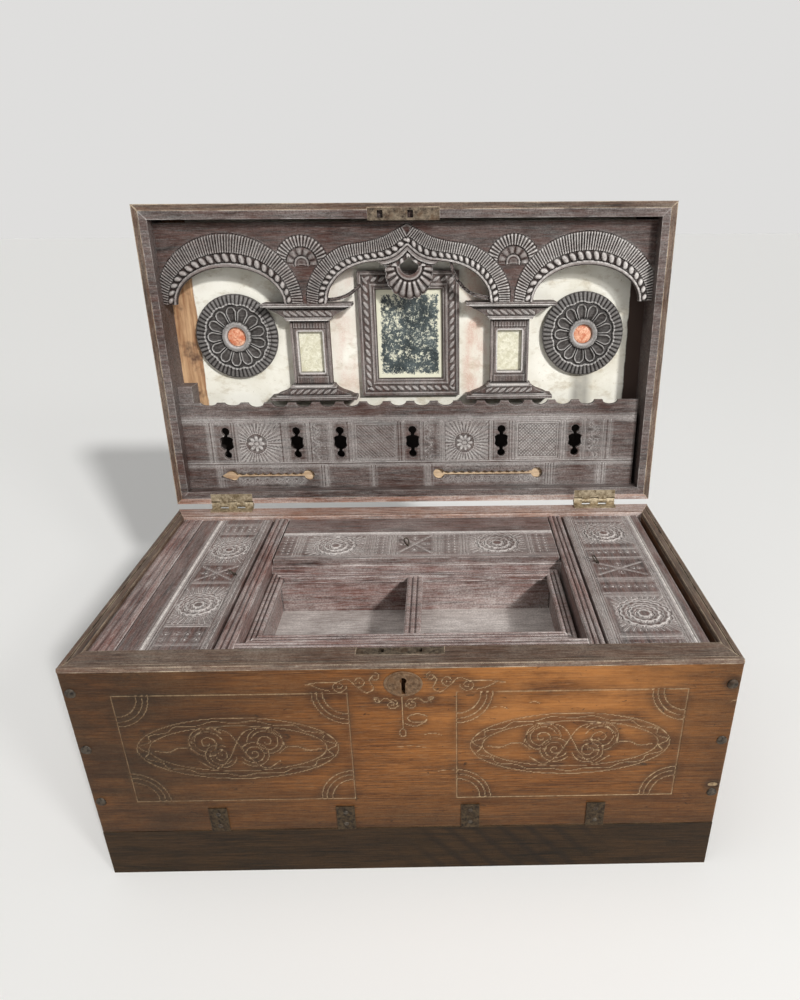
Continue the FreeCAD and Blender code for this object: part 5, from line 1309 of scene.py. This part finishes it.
def roundel_height(worn):
    def height(radius, angle):
        flute = np.abs(np.cos(RIM_FLUTES * angle)) ** 0.7
        crown = 6.0 + 4.2 * unit((50 - radius) / 13) ** 0.55
        rim = crown - 1.5 * (1 - flute) * soft(radius, 36.5, 39) * soft(50.5 - radius, 0, 1.5)
        rim -= 0.8 * worn * soft(radius, 41, 42) * soft(np.cos(angle - 0.2), 0.3, 0.9)
        swing = (angle * PETALS / (2 * math.pi)) % 1 - 0.5
        across = swing * 2 * math.pi / PETALS * radius
        tip = unit((radius - PETAL_WIDEST) / PETAL_TIP)
        width = PETAL_HALF - 2.6 * (PETAL_WIDEST - radius) / (PETAL_WIDEST - PETAL_ROOT)
        width = np.where(radius < PETAL_WIDEST, width, PETAL_HALF * unit(1 - tip ** 2) ** 0.5)
        share = np.abs(across) / (width + 0.01)
        petal = 7.0 + 2.8 * soft(np.maximum(share, tip ** 2), 0.3, 0.88) - 3.2 * soft(share, 0.93, 1.06)
        petal += 0.7 * soft(radius, PETAL_ROOT, 24)
        edge = 37.6 - 2.6 * unit(np.abs(swing) * 2 - 0.3) ** 1.4
        level = np.where(radius > edge, rim, np.maximum(petal, 5.4))
        level += groove(radius - edge, 0.8, 1.6)
        level += 0.4 * peak(radius - edge - 1.6, 0.9)
        ring = 8.0 + 4.4 * np.sqrt(unit(1 - ((radius - RING_RADIUS) / RING_HALF) ** 2))
        level = np.where(radius < PETAL_ROOT, ring, level)
        return np.where(radius < EYE_RADIUS, EYE_FACE, level)
    return height


ROUNDEL_X, ROUNDEL_UP = 213.5, 204.0
ROUNDEL_RADII = np.concatenate([[4, 11.45], np.arange(11.5, 49.6, 0.62), [49.9]])
for side, worn in (("left", 1.0), ("right", 0.0)):
    centre = (-ROUNDEL_X if side == "left" else ROUNDEL_X, ROUNDEL_UP)
    turned_relief("roundel_" + side, centre, ROUNDEL_RADII, 560, roundel_height(worn),
                  ((50.0, 5.4), (50.0, 2.0), (30.0, 2.0), (30.0, 0.0)), on_lid, finishes["disc"], "lid",
                  ["roundels"])


def bead_height(radius, angle):
    return 8.0 - 1.2 * (radius / 11.3) ** 2 + 0.1 * np.sin(3 * angle + radius)


for side, x in (("left", -ROUNDEL_X), ("right", ROUNDEL_X)):
    turned_relief("roundel_insert_" + side, (x, ROUNDEL_UP), np.array([1, 3, 5, 7, 9, 10.4, 11.1]), 48,
                  bead_height, ((11.3, 6.6), (11.3, 5.5)), on_lid, finishes["orange"], "lid",
                  ["roundel_inserts"])


# Keyhole plate
PLATE_HALF, PLATE_UP, PLATE_RISE = 17.5, 233.5, 13.5


def plate_gap(u, v):
    return (np.hypot(u / PLATE_HALF, (v - PLATE_UP) / PLATE_RISE) - 1) * 14


def plate_outline(u, v):
    return np.maximum(plate_gap(u, v), -keyhole_gap(u, v))


def plate_rise(u, v):
    return 0.75 + groove(plate_gap(u, v) + 2.2, 0.6, 0.35) + groove(keyhole_gap(u, v) - 1.6, 0.5, 0.25)


relief("escutcheon", (-PLATE_HALF, PLATE_HALF), (PLATE_UP - PLATE_RISE, PLATE_UP + PLATE_RISE), 0.4,
       plate_rise, 0, on_front, finishes["grey_iron"], "chest", ["escutcheon"], inside=plate_outline,
       soften=0.25, hollow=0.3)


# Domed nails
NAIL_SPOKES, NAIL_RINGS, NAIL_SHANK = 20, 6, 3


def domes(name, places, radius, dome, finish, seed):
    """Hammered nail heads with a short shank behind each."""
    chance = np.random.default_rng(seed)
    points, faces = [], []
    follow = [(k + 1) % NAIL_SPOKES for k in range(NAIL_SPOKES)]
    for x, z, y in places:
        first = len(points)
        turn, lean = chance.uniform(0, 6.28), chance.uniform(-0.12, 0.12)
        for ring in range(NAIL_RINGS + 1):
            tilt = math.pi / 2 * ring / NAIL_RINGS
            for spoke in range(NAIL_SPOKES):
                angle = turn + 2 * math.pi * spoke / NAIL_SPOKES
                dent = 0.05 * math.sin(3 * angle + x) + 0.02 * chance.normal()
                reach = radius * math.cos(tilt) * (1 + dent)
                out = dome * math.sin(tilt) * (1 + lean * math.cos(angle))
                points.append((x + reach * math.cos(angle), y - out, z + reach * math.sin(angle)))
        for low in range(first, first + NAIL_RINGS * NAIL_SPOKES, NAIL_SPOKES):
            high = low + NAIL_SPOKES
            faces += [[low + k, low + n, high + n, high + k] for k, n in enumerate(follow)]
        faces.append([first + NAIL_RINGS * NAIL_SPOKES + k for k in range(NAIL_SPOKES)])
        back = len(points)
        points += [(px, y + NAIL_SHANK, pz) for px, _, pz in points[first:first + NAIL_SPOKES]]
        faces += [[first + k, back + k, back + n, first + n] for k, n in enumerate(follow)]
        faces.append([back + k for k in reversed(range(NAIL_SPOKES))])
    add_piece(name, points, faces, finish, "chest", [name])


NAIL_X, NAIL_DROP_SHARES = 298, (0.1059, 0.3608, 0.6157)
PLATE_X_SHARES, PLATE_UP_SHARES = (-0.613, -0.203, 0.2, 0.607), (0.25, 0.75)
PLATE_FOOT, PLATE_HIGH, PLATE_THICK = 57.3, 30, 1.2
domes("front_nails", [(side * NAIL_X, RIM * (1 - drop), FRONT_Y) for side in (-1, 1)
                      for drop in NAIL_DROP_SHARES], 5.0, 1.75, finishes["iron"], 3)
domes("plate_nails", [(share * FRONT_HALF, PLATE_FOOT + PLATE_HIGH * up, FRONT_Y - PLATE_THICK)
                      for share in PLATE_X_SHARES for up in PLATE_UP_SHARES], 2.4, 0.7, finishes["iron"], 5)


# Wire pulls
WIRE_RADIUS = 0.75


def wire(name, pull, eye, body):
    """A closed loop and an open eye of bent wire, as one piece."""
    curve = bpy.data.curves.new(name, "CURVE")
    curve.dimensions = "3D"
    curve.bevel_depth = WIRE_RADIUS * MM
    curve.bevel_resolution = 4
    curve.use_fill_caps = True
    for points, closed in ((pull, True), (eye, False)):
        spline = curve.splines.new("NURBS")
        spline.points.add(len(points) - 1)
        for point, place in zip(spline.points, points):
            point.co = (*[value * MM for value in place], 1)
        spline.order_u = 3
        spline.use_endpoint_u = not closed
        spline.use_cyclic_u = closed
        spline.resolution_u = 8
    built = bpy.data.objects.new(name + "_line", curve)
    bpy.context.scene.collection.objects.link(built)
    bpy.context.view_layer.update()
    mesh = bpy.data.meshes.new_from_object(built.evaluated_get(bpy.context.evaluated_depsgraph_get()))
    bpy.data.objects.remove(built)
    mesh.name = name + "_piece"
    mesh.shade_smooth()
    mesh.materials.clear()
    mesh.materials.append(finishes["iron"])
    hang(mesh, body, [name])


def loop_pull(x, y, turn, lean):
    """An eye driven into the lid, with a pear-shaped loop hooked through it."""
    pear = ((0, 0.2), (1.6, 1.6), (2.7, 4.4), (2.6, 7.2), (1.2, 9.0), (-1.2, 9.0), (-2.6, 7.2), (-2.7, 4.4),
            (-1.6, 1.6))
    loop = []
    for across, up in pear:
        out = up * math.sin(lean)
        loop.append((x + across * math.cos(turn) - out * math.sin(turn),
                     y + across * math.sin(turn) + out * math.cos(turn), 253.2 + up * math.cos(lean)))
    eye = [(x - way * math.sin(turn), y + way * math.cos(turn), up)
           for way, up in ((0.9, 248.4), (1.2, 253), (0, 255.2), (-1.2, 253), (-0.9, 248.4))]
    return loop, eye


for side, x, y, turn, lean in (("left", -190, -1, 2.2, 0.7), ("right", 210, 17, 1.1, 0.75),
                               ("back", -4, 66, 0.45, 0.8)):
    wire(side + "_till_pull", *loop_pull(x, y, turn, lean), side + "_till")

# Finish of the nodes that keep their CAD shape
KEPT = {
    "ends": ("left_end_board", "right_end_board"),
    "back": ("back_board", "bottom_board"),
    "plinth": ("plinth_boards",),
    "rim_back": ("rim_back", "lid_back_rail"),
    "case": ("rim_front", "lid_top_board", "lid_front_rail"),
    "case_deep": ("rim_left", "rim_right"),
    "case_up": ("lid_left_rail", "lid_right_rail"),
    "dusty_deep": ("left_till_strip", "left_divider", "right_divider"),
    "dusty": ("well_front_rail", "well_front_board", "back_till_wall", "tray_runners", "tray_sides",
              "tray_partition"),
    "dusty_floor": ("left_till_floor", "right_till_floor", "back_till_floor", "tray_bottom"),
    "carved": ("lid_lining", "gallery_blocks"),
    "backing": ("painted_backing",),
    "mirror": ("mirror_glass",),
    "cream": ("column_inserts",),
    "iron": ("lock_bolt",),
    "plate_iron": ("base_plates",),
    "worn_iron": ("lock_case", "lid_lock_plate", "lid_plate_nails"),
    "brass": ("hinge_body_leaves", "hinge_lid_leaves", "hinge_pins", "hinge_body_screws", "hinge_lid_screws"),
}
SOFT_EDGE = 0.4
for finish, names in KEPT.items():
    for name in names:
        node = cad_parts[name]
        for material_slot in node.material_slots:
            material_slot.material = finishes[finish]
        bevel = node.modifiers.new("soft edges", "BEVEL")
        bevel.width = SOFT_EDGE * MM
        bevel.segments = 2
        bevel.angle_limit = math.radians(35)
